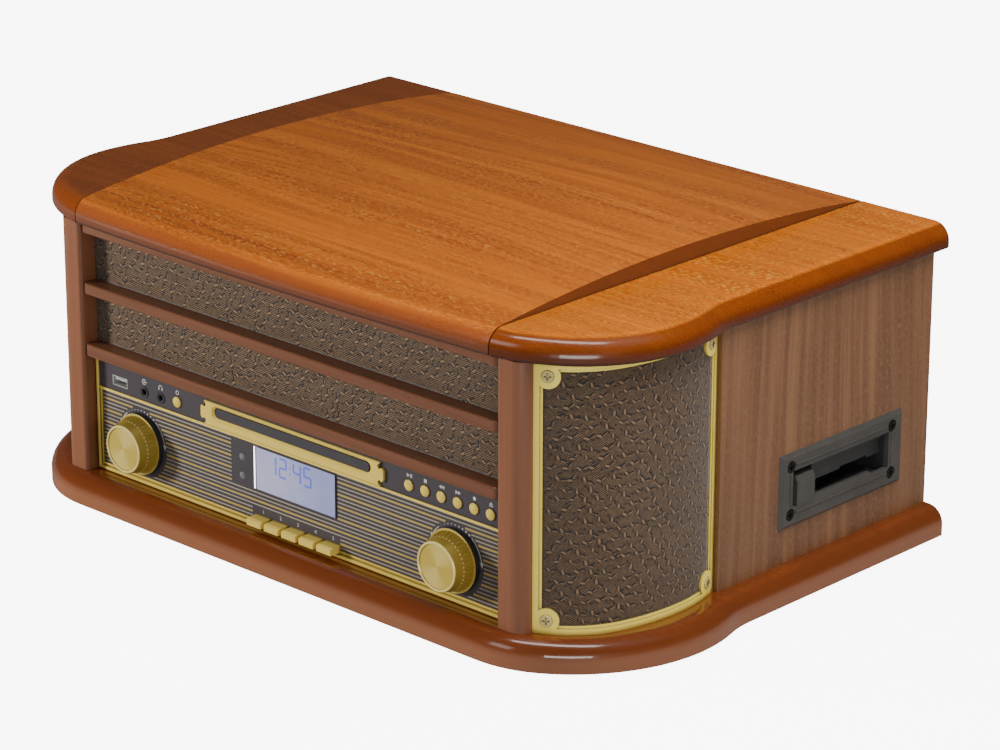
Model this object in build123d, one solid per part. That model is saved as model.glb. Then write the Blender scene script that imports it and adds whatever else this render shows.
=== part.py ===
from build123d import *
import math
import os

# Table-top stereo music centre with a turntable under a hinged lid, a CD tray, a cassette slot and a radio.
# Units are millimetres. X runs to the right, Y to the back and Z up. The origin is under the middle of the
# outline, on the surface that the rubber feet stand on. Heights given "up the front" start at the plinth top.

os.makedirs("parts", exist_ok=True)

# ---------------------------------------------------------------- clearances
seat_gap = 0.3        # between a moving piece and what it stops against
key_gap = 0.2         # round a button in its hole
shaft_gap = 0.05      # radial, round a shaft in its bush
seam_gap = 1.0        # between the lid and each wing

# ---------------------------------------------------------------- cabinet
overall_depth = 337.4
foot_height = 4.0
plinth_height = 18.3
body_height = 163.5
board_thickness = 16.0
bay_start_across = 196.3       # outer faces of the corner pillars, where the speaker bays start
pillar_width = 19.8
lid_inset = 2.7                # lid sides inside the inner faces of the pillars
crown_rise = 10.0
rear_overhang = 5.1
pillar_setback = 19.5          # from the plinth front to the line of the pillars
top_setback = 6.1              # from the plinth front to the front of the wings, where their corners start
top_bow = 4.0                  # bow of the front of the top between the corners
ovolo_radius = 11.0
top_edge_round = 2.5

plinth_flat_inset = 24.6       # ends of the plinth front inside the pillars' outer faces
plinth_radii = (72.2, 103.3, 105.2, 68.7)
top_flat_inset = 31.3
top_radii = (94.0, 82.1, 107.8, 61.5)
edge_turns = (34.4, 55.6, 17.2, -17.2)      # degrees that each arc of the plinth and of the top turns

bay_setback = 0.6              # start of the bay behind the pillar line
bay_heading = 22.0
bay_radii = (60.6, 137.0, 109.0)
bay_turns = (50.4, 17.6, 19.7)

side_proud = 3.4               # side panel outside the rear end of the bay
side_thickness = 12.0
back_thickness = 5.0

pillar_nose = 8.3
pillar_depth = 33.0
pillar_inner_round = 2.6
pillar_outer_round = 8.5
rail_nose = 7.2
lower_rail_height = 7.9
middle_rail_height = 7.3
top_rail_height = 6.7
middle_rail_bottom = 116.9     # up the front
rail_seat = 0.1
rail_end_round = 4.0
rail_round = 1.2
cloth_thickness = 1.0
cloth_setback = 4.0
baffle_thickness = 10.0
base_inset_front = 40.0        # base opening behind the pillar line
base_inset_rear = 25.0
base_beyond_pillars = 8.7
far = 400.0                    # outside every face, for cuts that go right through

# ---------------------------------------------------------------- fascia and its controls
fascia_setback = 1.6
fascia_thickness = 3.0
fascia_height = 76.2
knob_from_pillar = 41.6
knob_height = 26.9
knob_face_radius = 15.25
knob_rim_radius = 18.4
knob_proud = 16.2
knob_length = 12.6
flute_count = 40
flute_radius = 0.7
skirt_radius = 19.6
shaft_radius = 3.0
button_radius = 3.4
button_proud = 1.8
button_drop = 13.6             # below the top of the fascia, as the other drops are
button_count = 6
first_button_from_bezel = 19.8
last_button_from_pillar = 13.25
function_from_pillar = 75.5
key_width = 12.1
key_pitch = 15.05
key_count = 5
first_key = -26.0
key_bottom = 3.8
key_top = 8.3
key_proud = 8.6
disc_radius = 60.5             # recess of the disc drawer
tray_side = 5.5
slot_clearance = 1.0
slot_drop = 7.9
slot_opening = 6.8
bezel_end = 11.2
bezel_tongue = 3.2
bezel_drop = 5.2
bezel_tall = 15.2
bezel_proud = 1.8
window_left = -52.5
window_right = 37.1
window_drop = 22.9
window_tall = 29.7
lens_inset = 8.6
lens_rises = (6.5, 18.5)       # above the bottom of the window
usb_from_pillar = 22.9
usb_drop = 13.8
usb_width = 12.6
usb_tall = 5.4
jacks_from_pillar = (45.1, 60.2)
jack_drop = 14.9
jack_radius = 3.5
jack_bore = 1.8

# ---------------------------------------------------------------- turntable
spindle_across = -14.0
spindle_back = 152.1           # behind the pillar line
spindle_radius = 3.55
mat_top_above_body = 0.5       # the record passes just over the deck flange
mat_thickness = 2.0
platter_radius = 98.0
platter_height = 15.5
deck_wall = 3.0
deck_margin = 8.8              # side walls of the deck inside the sides of the lid
deck_floor_drop = 19.3         # deck floor below the flange
belt_rim_radius = 60.0
pulley_radius = 6.0
motor_distance = 78.0
motor_bearing = 135.0
arm_from_wall = 25.0           # pivot inside the right wall of the deck
arm_behind_spindle = 85.1
arm_length = 191.0
arm_rest_distance = 150.0      # from the pivot to the rest
arm_height = 8.2               # arm tube centre above the body top
arm_radius = 3.0
lever_from_wall = 8.0
lever_before_pivot = 18.0
switch_from_front = 19.2       # switches behind the front wall of the deck
speed_from_wall = 15.0
stop_from_wall = 43.0

# ---------------------------------------------------------------- cassette slot
cassette_from_back = 26.8      # rear edge of the bezel before the back of the body
cassette_length = 115.5
cassette_bottom = 21.8
cassette_tall = 47.2
cassette_proud = 2.6
cassette_bevel = 2.5
mouth_from_front = 10.5        # inside the bezel's front edge
mouth_from_rear = 14.5
mouth_rise = 13.2              # above the bezel's lower edge
mouth_tall = 23.0
eject_width = 16.3

# ---------------------------------------------------------------- levels and places worked out from these
front_y = -overall_depth / 2
rear_y = overall_depth / 2
pillar_y = front_y + pillar_setback
top_front_y = front_y + top_setback
body_rear_y = rear_y - rear_overhang
plinth_top = foot_height + plinth_height
body_top = plinth_top + body_height
top_z = body_top + board_thickness
pillar_inner = bay_start_across - pillar_width
plinth_flat_half = bay_start_across - plinth_flat_inset
top_flat_half = bay_start_across - top_flat_inset
lid_half_width = pillar_inner - lid_inset
wing_inner = lid_half_width + seam_gap
fascia_y = pillar_y + fascia_setback
fascia_back = fascia_y + fascia_thickness
cloth_y = pillar_y + cloth_setback
baffle_y = cloth_y + cloth_thickness
back_inner = body_rear_y - back_thickness
lower_rail_bottom = fascia_height + rail_seat
top_rail_top = body_height - seat_gap
rail_bands = [(lower_rail_bottom, lower_rail_bottom + lower_rail_height),
              (middle_rail_bottom, middle_rail_bottom + middle_rail_height),
              (top_rail_top - top_rail_height, top_rail_top)]

knob_across = pillar_inner - knob_from_pillar
usb_across = usb_from_pillar - pillar_inner
jack_places = [place - pillar_inner for place in jacks_from_pillar]
function_across = function_from_pillar - pillar_inner
tray_half = disc_radius + tray_side
slot_half = tray_half + slot_clearance
bezel_half = slot_half + bezel_end
bezel_shoulder = bezel_half - bezel_tongue
slot_top = fascia_height - slot_drop
slot_bottom = slot_top - slot_opening
bezel_top = fascia_height - bezel_drop
bezel_bottom = bezel_top - bezel_tall
window_top = fascia_height - window_drop
window_bottom = window_top - window_tall
lens_across = window_left + lens_inset
button_height = fascia_height - button_drop
usb_height = fascia_height - usb_drop
jack_height = fascia_height - jack_drop
deck_half = lid_half_width - deck_margin
spindle = (spindle_across, pillar_y + spindle_back)
arm_pivot = (deck_half - arm_from_wall, spindle[1] + arm_behind_spindle)
lever_place = (deck_half - lever_from_wall, arm_pivot[1] - lever_before_pivot)
base_half = bay_start_across + base_beyond_pillars
base_y = (pillar_y + base_inset_front, body_rear_y - base_inset_rear)


def box(x, y, z):
    """Block between two values on each axis."""
    size = [axis[1] - axis[0] for axis in (x, y, z)]
    return Pos(*[(axis[0] + axis[1]) / 2 for axis in (x, y, z)]) * Box(*size)


def rod_x(x, y, z, radius):
    """Cylinder along X from x[0] to x[1]."""
    return Pos((x[0] + x[1]) / 2, y, z) * Rot(0, 90, 0) * Cylinder(radius, x[1] - x[0])


def rod_y(x, y, z, radius):
    """Cylinder along Y from y[0] to y[1]."""
    return Pos(x, (y[0] + y[1]) / 2, z) * Rot(90, 0, 0) * Cylinder(radius, y[1] - y[0])


def rod_z(x, y, z, radius):
    """Cylinder along Z from z[0] to z[1]."""
    return Pos(x, y, (z[0] + z[1]) / 2) * Cylinder(radius, z[1] - z[0])


def both_sides(solid):
    """The solid and its mirror image on the other side of the middle."""
    return [solid, mirror(solid, about=Plane.YZ)]


def up_front(height):
    """Z of a height measured up the front from the plinth top."""
    return plinth_top + height


class ArcChain:
    """Arcs in plan that run on smoothly from one another, from a start point and heading in degrees.

    Each arc has a radius and a turn in degrees, where a positive turn bends to the left.
    """

    def __init__(self, start, heading, radii, turns):
        self.arcs = []
        point = Vector(*start)
        for radius, turn in zip(radii, turns):
            side = math.copysign(1, turn)
            angle = heading + 90 * side
            centre = point + Vector(radius, 0).rotate(Axis.Z, angle)
            self.arcs.append((centre, radius, angle + 180, turn, side))
            heading += turn
            point = centre + Vector(radius, 0).rotate(Axis.Z, angle + 180 + turn)
        self.end = point

    def edges(self, inset=0.0, start_trim=0.0, end_trim=0.0):
        """The arcs moved to the left by inset, and shortened at each end by a length."""
        found = []
        for number, (centre, radius, angle, turn, side) in enumerate(self.arcs):
            if number == 0:
                cut = side * math.degrees(start_trim / radius)
                angle, turn = angle + cut, turn - cut
            if number == len(self.arcs) - 1:
                turn -= side * math.degrees(end_trim / radius)
            found.append(CenterArc(centre, radius - side * inset, angle, turn))
        return found

    def frame_at(self, distance, from_end=False):
        """Plane on the outer face at a distance along the chain, with its normal pointing outwards."""
        centre, radius, angle, turn, side = self.arcs[-1 if from_end else 0]
        step = side * math.degrees(distance / radius)
        angle = angle + turn - step if from_end else angle + step
        outwards = Vector(side, 0).rotate(Axis.Z, angle)
        return Plane(centre + Vector(radius, 0).rotate(Axis.Z, angle), x_dir=(0, 0, 1), z_dir=outwards)


def closed_outline(flat_half, start_y, radii, end_y, bow=0.0):
    """Symmetrical outline: a straight or bowed front, the arcs on each side, and straight sides to the back."""
    heading = math.degrees(2 * math.atan(bow / flat_half))
    chain = ArcChain((flat_half, start_y), heading, radii, (edge_turns[0] - heading, *edge_turns[1:]))
    corner = Vector(chain.end.X, end_y)
    right = chain.edges() + [Line(chain.end, corner)]
    left = [mirror(edge, about=Plane.YZ) for edge in right]
    ends = ((-flat_half, start_y), (flat_half, start_y))
    front = ThreePointArc(ends[0], (0, start_y - bow), ends[1]) if bow else Line(*ends)
    back = Line(corner, (-corner.X, corner.Y))
    return make_face([front, back] + right + left)


def all_but_back(edges, y):
    """Edges that don't lie along the back at y."""
    return edges.filter_by(lambda edge: edge.center().Y < y - 0.01)


bay = ArcChain((bay_start_across, pillar_y + bay_setback), bay_heading, bay_radii, bay_turns)
side_face = bay.end.X + side_proud
side_inner = side_face - side_thickness
side_y = bay.end.Y + seat_gap


def plinth_board():
    face = closed_outline(plinth_flat_half, front_y, plinth_radii, body_rear_y)
    board = Pos(0, 0, foot_height) * extrude(face, amount=plinth_height, dir=(0, 0, 1))
    board = fillet(all_but_back(board.edges().group_by(Axis.Z)[-1], body_rear_y), ovolo_radius)
    return board - box((-base_half, base_half), base_y, (0, far))


base_panel_thickness = 5.0
base_top = foot_height + base_panel_thickness
vent_width = 40.0
vent_pitch = 60.0
vent_slot = 3.0
vent_row_pitch = 10.0
vent_rows = 5
vents_behind_edge = 49.2


def base_panel():
    """Bottom board let into the plinth, with cooling slots."""
    panel = box((-base_half, base_half), base_y, (foot_height, base_top))
    for column in range(-2, 3):
        middle = column * vent_pitch
        for row in range(vent_rows):
            near = base_y[0] + vents_behind_edge + row * vent_row_pitch
            panel -= box((middle - vent_width / 2, middle + vent_width / 2), (near, near + vent_slot), (0, far))
    return panel


foot_radius = 11.0
foot_chamfer = 1.0
front_foot_inset = 11.3        # front feet inside the pillars' outer faces
front_foot_back = 43.7         # behind the plinth front
rear_foot_outset = 8.7
rear_foot_before = 18.6        # before the back of the body
foot_places = [(bay_start_across - front_foot_inset, front_y + front_foot_back),
               (bay_start_across + rear_foot_outset, body_rear_y - rear_foot_before)]


def rubber_feet():
    feet = []
    for x, y in foot_places:
        foot = rod_z(x, y, (0, foot_height), foot_radius)
        feet += both_sides(chamfer(foot.edges().group_by(Axis.Z)[0], foot_chamfer))
    return feet


def side_panel(right):
    panel = box((side_inner, side_face), (side_y, body_rear_y), (plinth_top, body_top))
    if right:
        y = (mouth_y[0] - case_wall - 1, mouth_y[1] + case_wall + 1)
        z = (mouth_z[0] - case_under - 1, mouth_z[1] + case_wall + 1)
        return panel - box((0, far), y, z)
    return mirror(panel, about=Plane.YZ)


def pillar():
    """Corner post, flat on the inside and rounded at the front."""
    x = (pillar_inner, bay_start_across)
    post = box(x, (pillar_y - pillar_nose, pillar_y - pillar_nose + pillar_depth), (plinth_top, body_top))
    corners = post.edges().filter_by(Axis.Z).group_by(Axis.Y)[0].sort_by(Axis.X)
    post = fillet(corners[0], pillar_inner_round)
    corner = post.edges().filter_by(Axis.Z).sort_by(Axis.X)[-2:].sort_by(Axis.Y)[0]
    return fillet(corner, pillar_outer_round)


def rail(bottom, top):
    """Cross rail with a rounded nose whose ends curve back to the pillars."""
    bar = box((-pillar_inner, pillar_inner), (pillar_y - rail_nose, baffle_y), (up_front(bottom), up_front(top)))
    bar = fillet(bar.edges().filter_by(Axis.Z).group_by(Axis.Y)[0], rail_end_round)
    ends = (bar.edges().group_by(Axis.Z)[0] + bar.edges().group_by(Axis.Z)[-1])
    nose = ends.filter_by(lambda edge: edge.center().Y < pillar_y and abs(edge.center().X) < pillar_inner - 0.5)
    return fillet(nose, rail_round)


deck_flange = 3.0
baffle_hole_pitch = 110.0
baffle_hole_half = 45.0
baffle_hole_tall = 18.0


def front_baffle():
    """Board behind the upper cloth that the rails are screwed to."""
    y = (baffle_y, baffle_y + baffle_thickness)
    board = box((-pillar_inner, pillar_inner), y, (up_front(rail_bands[0][0]), body_top - deck_flange))
    strip_middle = (rail_bands[0][1] + rail_bands[1][0]) / 2
    z = (up_front(strip_middle - baffle_hole_tall / 2), up_front(strip_middle + baffle_hole_tall / 2))
    for column in (-1, 0, 1):
        middle = column * baffle_hole_pitch
        board -= box((middle - baffle_hole_half, middle + baffle_hole_half), (front_y, rear_y), z)
    return board


def front_cloth():
    """Two cloth strips stretched between the rails."""
    strips = []
    for lower, upper in zip(rail_bands, rail_bands[1:]):
        z = (up_front(lower[1]), up_front(upper[0]))
        strips.append(box((-pillar_inner, pillar_inner), (cloth_y, baffle_y), z))
    return strips


# ---------------------------------------------------------------- speaker bays
frame_member = 5.3
frame_depth = 5.0
frame_lip = 1.8                # lower inner edge of the surround
frame_lip_depth = 0.8
cloth_in_frame = 1.6
lobe_radius = 7.4
lobe_inset = 8.2
grille_slot = 4.0
grille_pitch = 9.0
grille_margin = 13.0          # slots inside the window, above and below
grille_trims = (24.0, 16.0)   # slots inside the front and rear ends of the bay
frame_z = (plinth_top, body_top)


def bay_strip(outer, inner, z, start_trim=0.0, end_trim=0.0):
    """Curved slab that follows the bay between two insets."""
    outside = bay.edges(outer, start_trim, end_trim)
    inside = bay.edges(inner, start_trim, end_trim)
    ends = [Line(outside[0] @ 0, inside[0] @ 0), Line(outside[-1] @ 1, inside[-1] @ 1)]
    face = make_face(outside + inside + ends)
    return Pos(0, 0, z[0]) * extrude(face, amount=z[1] - z[0], dir=(0, 0, 1))


def bay_corners():
    """Planes at the four fixing screws of a speaker frame."""
    corners = []
    for from_end in (False, True):
        at = bay.frame_at(lobe_inset, from_end)
        for z in (frame_z[0] + lobe_inset, frame_z[1] - lobe_inset):
            corners.append(Plane(at.origin + Vector(0, 0, z), x_dir=at.x_dir, z_dir=at.z_dir))
    return corners


screw_head_radius = 3.6
screw_shank_radius = 1.6


def speaker_frame():
    """Curved surround with a lobe round each screw, moulded in one with the slotted back of the grille."""
    body = bay_strip(0, frame_depth, frame_z) & box((bay_start_across, far), (front_y, rear_y), frame_z)
    window_z = (frame_z[0] + frame_member, frame_z[1] - frame_member)
    window = bay_strip(-5, cloth_in_frame + cloth_thickness, window_z, frame_member, frame_member)
    lobes = [at * Cylinder(lobe_radius, 4 * frame_depth) for at in bay_corners()]
    body -= window - lobes
    lip_z = (window_z[0] - frame_lip, window_z[1] + frame_lip)
    lip_trim = frame_member - frame_lip
    body -= bay_strip(-5, frame_lip_depth, lip_z, lip_trim, lip_trim) - lobes
    slot_z = window_z[0] + grille_margin
    while slot_z + grille_slot < window_z[1] - grille_margin:
        z = (slot_z, slot_z + grille_slot)
        body -= bay_strip(0, frame_depth + 5, z, *grille_trims)
        slot_z += grille_pitch
    for at in bay_corners():
        body -= at * Cylinder(screw_head_radius + key_gap, 1.6)
        body -= at * Cylinder(screw_shank_radius + key_gap, 4 * frame_depth)
    return body


def speaker_cloth():
    """Cloth in the window of a speaker frame, cut away round the lobes."""
    z = (frame_z[0] + frame_member, frame_z[1] - frame_member)
    cloth = bay_strip(cloth_in_frame, cloth_in_frame + cloth_thickness, z, frame_member, frame_member)
    for at in bay_corners():
        cloth -= at * Cylinder(lobe_radius, 4 * frame_depth)
    return cloth


def cross_head(at, head_radius, length, head_height=1.6):
    """Countersunk screw with a cross recess, its head under the face of a plane."""
    screw = Cylinder(head_radius, head_height, align=(Align.CENTER, Align.CENTER, Align.MAX))
    screw = fillet(screw.edges().group_by(Axis.Z)[-1], 0.5)
    screw += Cylinder(head_radius * 0.45, length, align=(Align.CENTER, Align.CENTER, Align.MAX))
    for turn in (0, 90):
        screw -= Rot(0, 0, turn) * Box(head_radius * 1.2, head_radius * 0.3, 1.2)
    return at * screw


def speaker_screws():
    return [cross_head(at * Pos(0, 0, 0.6), screw_head_radius, 9.0, 1.4) for at in bay_corners()]


speaker_hole = 33.0
driver_flange = 38.0
speaker_height = 78.0
speaker_board = 9.0


def board_plane():
    """Plane on the outer face of the flat speaker board, between the pillar and the side panel."""
    near = Vector(bay_start_across, pillar_y - pillar_nose + pillar_depth, up_front(speaker_height))
    far = Vector(side_inner, side_y, up_front(speaker_height))
    along = (far - near).normalized()
    return Plane((near + far) / 2, x_dir=along, z_dir=Vector(along.Y, -along.X, 0)), (far - near).length


def speaker_baffle():
    at, length = board_plane()
    tall = Pos(0, 0, -speaker_board / 2) * Box(length - 2, 2 * body_height, speaker_board)
    board = at * (tall - Cylinder(speaker_hole + 0.5, 4 * speaker_board))
    return board & box((0, far), (front_y, rear_y), (plinth_top, body_top))


def speaker_driver():
    """Round loudspeaker: flange, cone, basket and magnet."""
    at, _ = board_plane()
    profile = [(0, -30), (24, -30), (24, -18), (15, -18), (speaker_hole, -4), (speaker_hole, 0),
               (driver_flange, 0), (driver_flange, 2.5), (driver_flange - 5, 2.5), (driver_flange - 8, 0.5),
               (11, -12), (9, -9), (0, -7)]
    face = make_face(Polyline([(r, 0, z) for r, z in profile], close=True))
    return at * revolve(face, Axis.Z, 360)


# ---------------------------------------------------------------- fascia
slot_mid = (slot_bottom + slot_top) / 2


def front_face(sketch, y0, y1):
    """Sketch drawn in front view (X across, Y up the front), thickened from y0 to y1."""
    plane = Plane((0, y1, plinth_top), x_dir=(1, 0, 0), z_dir=(0, -1, 0))
    return extrude(plane * sketch, amount=y1 - y0)


def stadium(half, height):
    return SlotOverall(2 * half, height)


def button_places():
    """The function button on the left, then the row between the bezel and the right pillar."""
    first = bezel_half + first_button_from_bezel
    pitch = (pillar_inner - last_button_from_pillar - first) / (button_count - 1)
    return [function_across] + [first + number * pitch for number in range(button_count)]


def key_places():
    return [first_key + number * key_pitch for number in range(key_count)]


control_hole = key_gap + button_radius


def fascia():
    """Front panel with every control and socket opening."""
    sketch = Pos(0, fascia_height / 2) * Rectangle(2 * pillar_inner, fascia_height)
    sketch -= Pos(0, slot_mid) * stadium(slot_half, slot_top - slot_bottom)
    for x in button_places():
        sketch -= Pos(x, button_height) * Circle(control_hole)
    for x in key_places():
        sketch -= Pos(x, (key_bottom + key_top) / 2) * Rectangle(
            key_width + 2 * key_gap, key_top - key_bottom + 2 * key_gap)
    for x in (-knob_across, knob_across):
        sketch -= Pos(x, knob_height) * Circle(shaft_radius + shaft_gap)
    for x in jack_places:
        sketch -= Pos(x, jack_height) * Circle(jack_radius)
    sketch -= Pos(usb_across, usb_height) * Rectangle(usb_width + 1, usb_tall + 1)
    sketch -= Pos((window_left + window_right) / 2, (window_bottom + window_top) / 2) * Rectangle(
        window_right - window_left, window_top - window_bottom)
    return front_face(sketch, fascia_y, fascia_back)


trim_outer = pillar_inner - 1.2
trim_bead = 2.2
trim_groove = 1.7
trim_inner_bead = 0.9
trim_line_drop = 20.8
trim_line_height = fascia_height - trim_line_drop
trim_line = 1.5
trim_proud = 1.4


def fascia_trim():
    """Gilt channel round the lower front: an outer bead, a groove, an inner bead and the line above."""
    outer_top = fascia_height - 0.4

    def ring(inset, width, top):
        half = trim_outer - inset
        bottom = 0.3 + inset
        outside = Pos(0, (bottom + top) / 2) * Rectangle(2 * half, top - bottom)
        inside = Pos(0, (bottom + width + top + 1) / 2) * Rectangle(2 * (half - width), top + 1 - bottom - width)
        return outside - inside

    total = trim_bead + trim_groove + trim_inner_bead
    bead = front_face(ring(0, trim_bead, outer_top), fascia_y - trim_proud, fascia_y)
    bead = chamfer(bead.edges().group_by(Axis.Y)[0], 0.5)
    groove = front_face(ring(0, total, trim_line_height), fascia_y - 0.3, fascia_y)
    inner = front_face(ring(trim_bead + trim_groove, trim_inner_bead, trim_line_height), fascia_y - 0.9, fascia_y)
    line = box((-trim_outer + trim_bead, trim_outer - trim_bead), (fascia_y - 0.9, fascia_y),
               (up_front(trim_line_height - trim_line), up_front(trim_line_height)))
    trim = bead + groove + inner + line
    for x in key_places():
        trim -= box((x - key_width / 2 - key_gap, x + key_width / 2 + key_gap), (pillar_y - 20, fascia_back),
                    (up_front(key_bottom - key_gap), up_front(key_top + key_gap)))
    return trim


def slot_bezel():
    """Gilt surround of the tray slot, with a rounded tongue at each end between notched shoulders."""
    middle = (bezel_bottom + bezel_top) / 2
    height = bezel_top - bezel_bottom
    sketch = Pos(0, middle) * Rectangle(2 * bezel_shoulder, height)
    for side in (-1, 1):
        sketch += Pos(side * (bezel_shoulder - 1), middle) * RectangleRounded(
            2 * (bezel_half - bezel_shoulder + 1), height * 0.62, 2.6)
        for corner in (-1, 1):
            sketch -= Pos(side * (bezel_shoulder + 0.2), middle + corner * height * 0.34) * Circle(1.6)
    plate = front_face(sketch, fascia_y - bezel_proud, fascia_y)
    plate = chamfer(plate.edges().group_by(Axis.Y)[0].filter_by(GeomType.LINE).sort_by(Edge.length)[-2:], 0.5)
    hole = Pos(0, slot_mid) * stadium(slot_half, slot_top - slot_bottom)
    bevel = Pos(0, slot_mid) * stadium(slot_half + 1.6, slot_top - slot_bottom + 3.2)
    plate -= front_face(hole, fascia_y - 5, fascia_back)
    front = Plane((0, fascia_y - bezel_proud, plinth_top), x_dir=(1, 0, 0), z_dir=(0, -1, 0))
    back = Plane((0, fascia_y - 0.6, plinth_top), x_dir=(1, 0, 0), z_dir=(0, -1, 0))
    return plate - loft([front * bevel, back * hole])


board_y = fascia_back + 5.6
board_thickness_pcb = 1.6


lens_radius = 3.1
lens_sunk = 2.2                # lens centre behind the fascia face


def display_module():
    """Display glass and sensor window in one block, with a small lens over the sensor and the lamp."""
    block = box((window_left, window_right), (fascia_y - 0.2, board_y),
                (up_front(window_bottom), up_front(window_top)))
    for rise in lens_rises:
        block += Pos(lens_across, fascia_y + lens_sunk, up_front(window_bottom + rise)) * Sphere(lens_radius)
    return block


def control_board():
    """Upright circuit board behind the fascia, with its push switches and the two encoders."""
    board = box((-pillar_inner + 3, pillar_inner - 3), (board_y, board_y + board_thickness_pcb),
                (up_front(2), up_front(70)))
    board -= front_face(Pos(0, slot_mid) * Rectangle(2 * slot_half + 16, 24), board_y - 1, board_y + 4)
    board -= box((usb_across - 8, usb_across + 8), (board_y - 1, board_y + 4),
                 (up_front(usb_height - 4), up_front(usb_height + 9)))
    switch_front = fascia_back + 2.3
    for x in button_places():
        board += rod_y(x, (switch_front, board_y), up_front(button_height), 1.7)
    for x in key_places():
        board += rod_y(x, (switch_front, board_y), up_front((key_bottom + key_top) / 2), 1.7)
    for x in (-knob_across, knob_across):
        board += rod_y(x, (fascia_back, board_y), up_front(knob_height), 6.0)
        board -= rod_y(x, (fascia_back - 1, board_y + 0.1), up_front(knob_height), shaft_radius + shaft_gap)
    return board


def front_sockets():
    """USB socket with its tongue, and two small round jacks."""
    wall = 0.5
    x = (usb_across - usb_width / 2 - wall, usb_across + usb_width / 2 + wall)
    z = (up_front(usb_height - usb_tall / 2) - wall, up_front(usb_height + usb_tall / 2) + wall)
    y = (fascia_y - 0.3, fascia_y + 14)
    shell = box(x, y, z)
    shell -= box((x[0] + wall, x[1] - wall), (y[0] - 1, y[1] - 1), (z[0] + wall, z[1] - wall))
    tongue = box((x[0] + wall + 1, x[1] - wall - 1), (y[0] + 1, y[1] - 1), (z[1] - wall - 2.3, z[1] - wall - 0.4))
    shell += tongue + box((x[0] + wall + 1, x[1] - wall - 1), (y[1] - 3, y[1] - 1), (z[0], z[1]))
    sockets = [shell]
    for across in jack_places:
        jack = rod_y(across, (fascia_y - 0.5, board_y), up_front(jack_height), jack_radius)
        jack -= rod_y(across, (fascia_y - 1, board_y - 2), up_front(jack_height), jack_bore)
        jack -= Pos(across, fascia_y - 0.5, up_front(jack_height)) * Rot(90, 0, 0) * Cone(jack_bore, 2.7, 0.9)
        sockets.append(jack)
    return sockets


def round_button(x):
    """Domed push button with a flange behind the fascia."""
    z = up_front(button_height)
    cap = rod_y(x, (fascia_y - button_proud + 1, fascia_back + seat_gap), z, button_radius)
    ball_radius = (button_radius ** 2 + 1) / 2
    dome = Pos(x, fascia_y - button_proud + ball_radius, z) * Sphere(ball_radius)
    dome &= rod_y(x, (fascia_y - button_proud - 1, fascia_y - button_proud + 1), z, button_radius)
    flange = rod_y(x, (fascia_back + seat_gap, fascia_back + seat_gap + 1), z, button_radius + 1)
    return cap + dome + flange


def rectangular_key(x):
    """Deep key whose top slopes down a little to its front edge."""
    z = (up_front(key_bottom), up_front(key_top))
    cap = box((x - key_width / 2, x + key_width / 2), (fascia_y - key_proud, fascia_back + seat_gap), z)
    cap = chamfer(cap.edges().filter_by(Axis.X).group_by(Axis.Y)[0].sort_by(Axis.Z)[-1], 0.8, 2.0)
    cap = fillet(cap.faces().sort_by(Axis.Y)[0].edges(), 0.3)
    flange = box((x - key_width / 2 - 0.8, x + key_width / 2 + 0.8),
                 (fascia_back + seat_gap, fascia_back + seat_gap + 1), (z[0] - 0.8, z[1] + 0.8))
    return cap + flange


def knob(x):
    """Tapered knob with flutes on its rear half, on a black skirt and a shaft that enters the encoder."""
    z = up_front(knob_height)
    front = fascia_y - knob_proud
    back = front + knob_length
    slope = (knob_rim_radius - knob_face_radius) / knob_length
    profile = [(0, front + 0.7), (knob_face_radius - 1.8, front + 0.7), (knob_face_radius - 1.2, front),
               (knob_face_radius - 0.4, front), (knob_face_radius, front + 0.4), (knob_rim_radius, back), (0, back)]
    face = make_face(Polyline([(r, y, 0) for r, y in profile], close=True))
    cap = revolve(face, Axis.Y, 360)
    flute_start = front + knob_length * 0.5
    for number in range(flute_count):
        angle = number * 360 / flute_count
        near = knob_face_radius + slope * (flute_start - front) + flute_radius * 0.35
        far = knob_rim_radius + slope * 2 + flute_radius * 0.35
        path = Line((near, flute_start, 0), (far, back + 2, 0))
        plane = Plane(path @ 0, z_dir=path % 0)
        flute = extrude(plane * Circle(flute_radius), amount=path.length)
        cap -= Rot(0, angle, 0) * flute
    cap = Pos(x, 0, z) * cap
    skirt = rod_y(x, (back, fascia_y - seat_gap), z, skirt_radius)
    shaft = rod_y(x, (fascia_y - seat_gap, board_y - 1), z, shaft_radius)
    return [cap, skirt + shaft]


# ---------------------------------------------------------------- CD drawer
tray_thickness = 5.8
tray_length = 142.0
tray_gap = 0.5
tray_z = up_front(slot_mid)
tray_front = fascia_y - 0.9


def cd_tray():
    """Drawer with a rounded front and a stepped recess for the disc."""
    front = front_face(Pos(0, slot_mid) * stadium(tray_half, tray_thickness), tray_front, tray_front + 4)
    body = box((-tray_half + 2, tray_half - 2), (tray_front + 4, tray_front + tray_length),
               (tray_z - tray_thickness / 2, tray_z + tray_thickness / 2 - 0.6))
    centre = tray_front + 9 + disc_radius
    tray = front + body
    tray -= rod_z(0, centre, (tray_z + 0.1, tray_z + 5), disc_radius)
    tray -= rod_z(0, centre, (tray_z - 0.9, tray_z + 5), 41)
    return tray - box((-19, 19), (centre - 19, centre + 70), (tray_z - 5, tray_z + 5))


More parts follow.
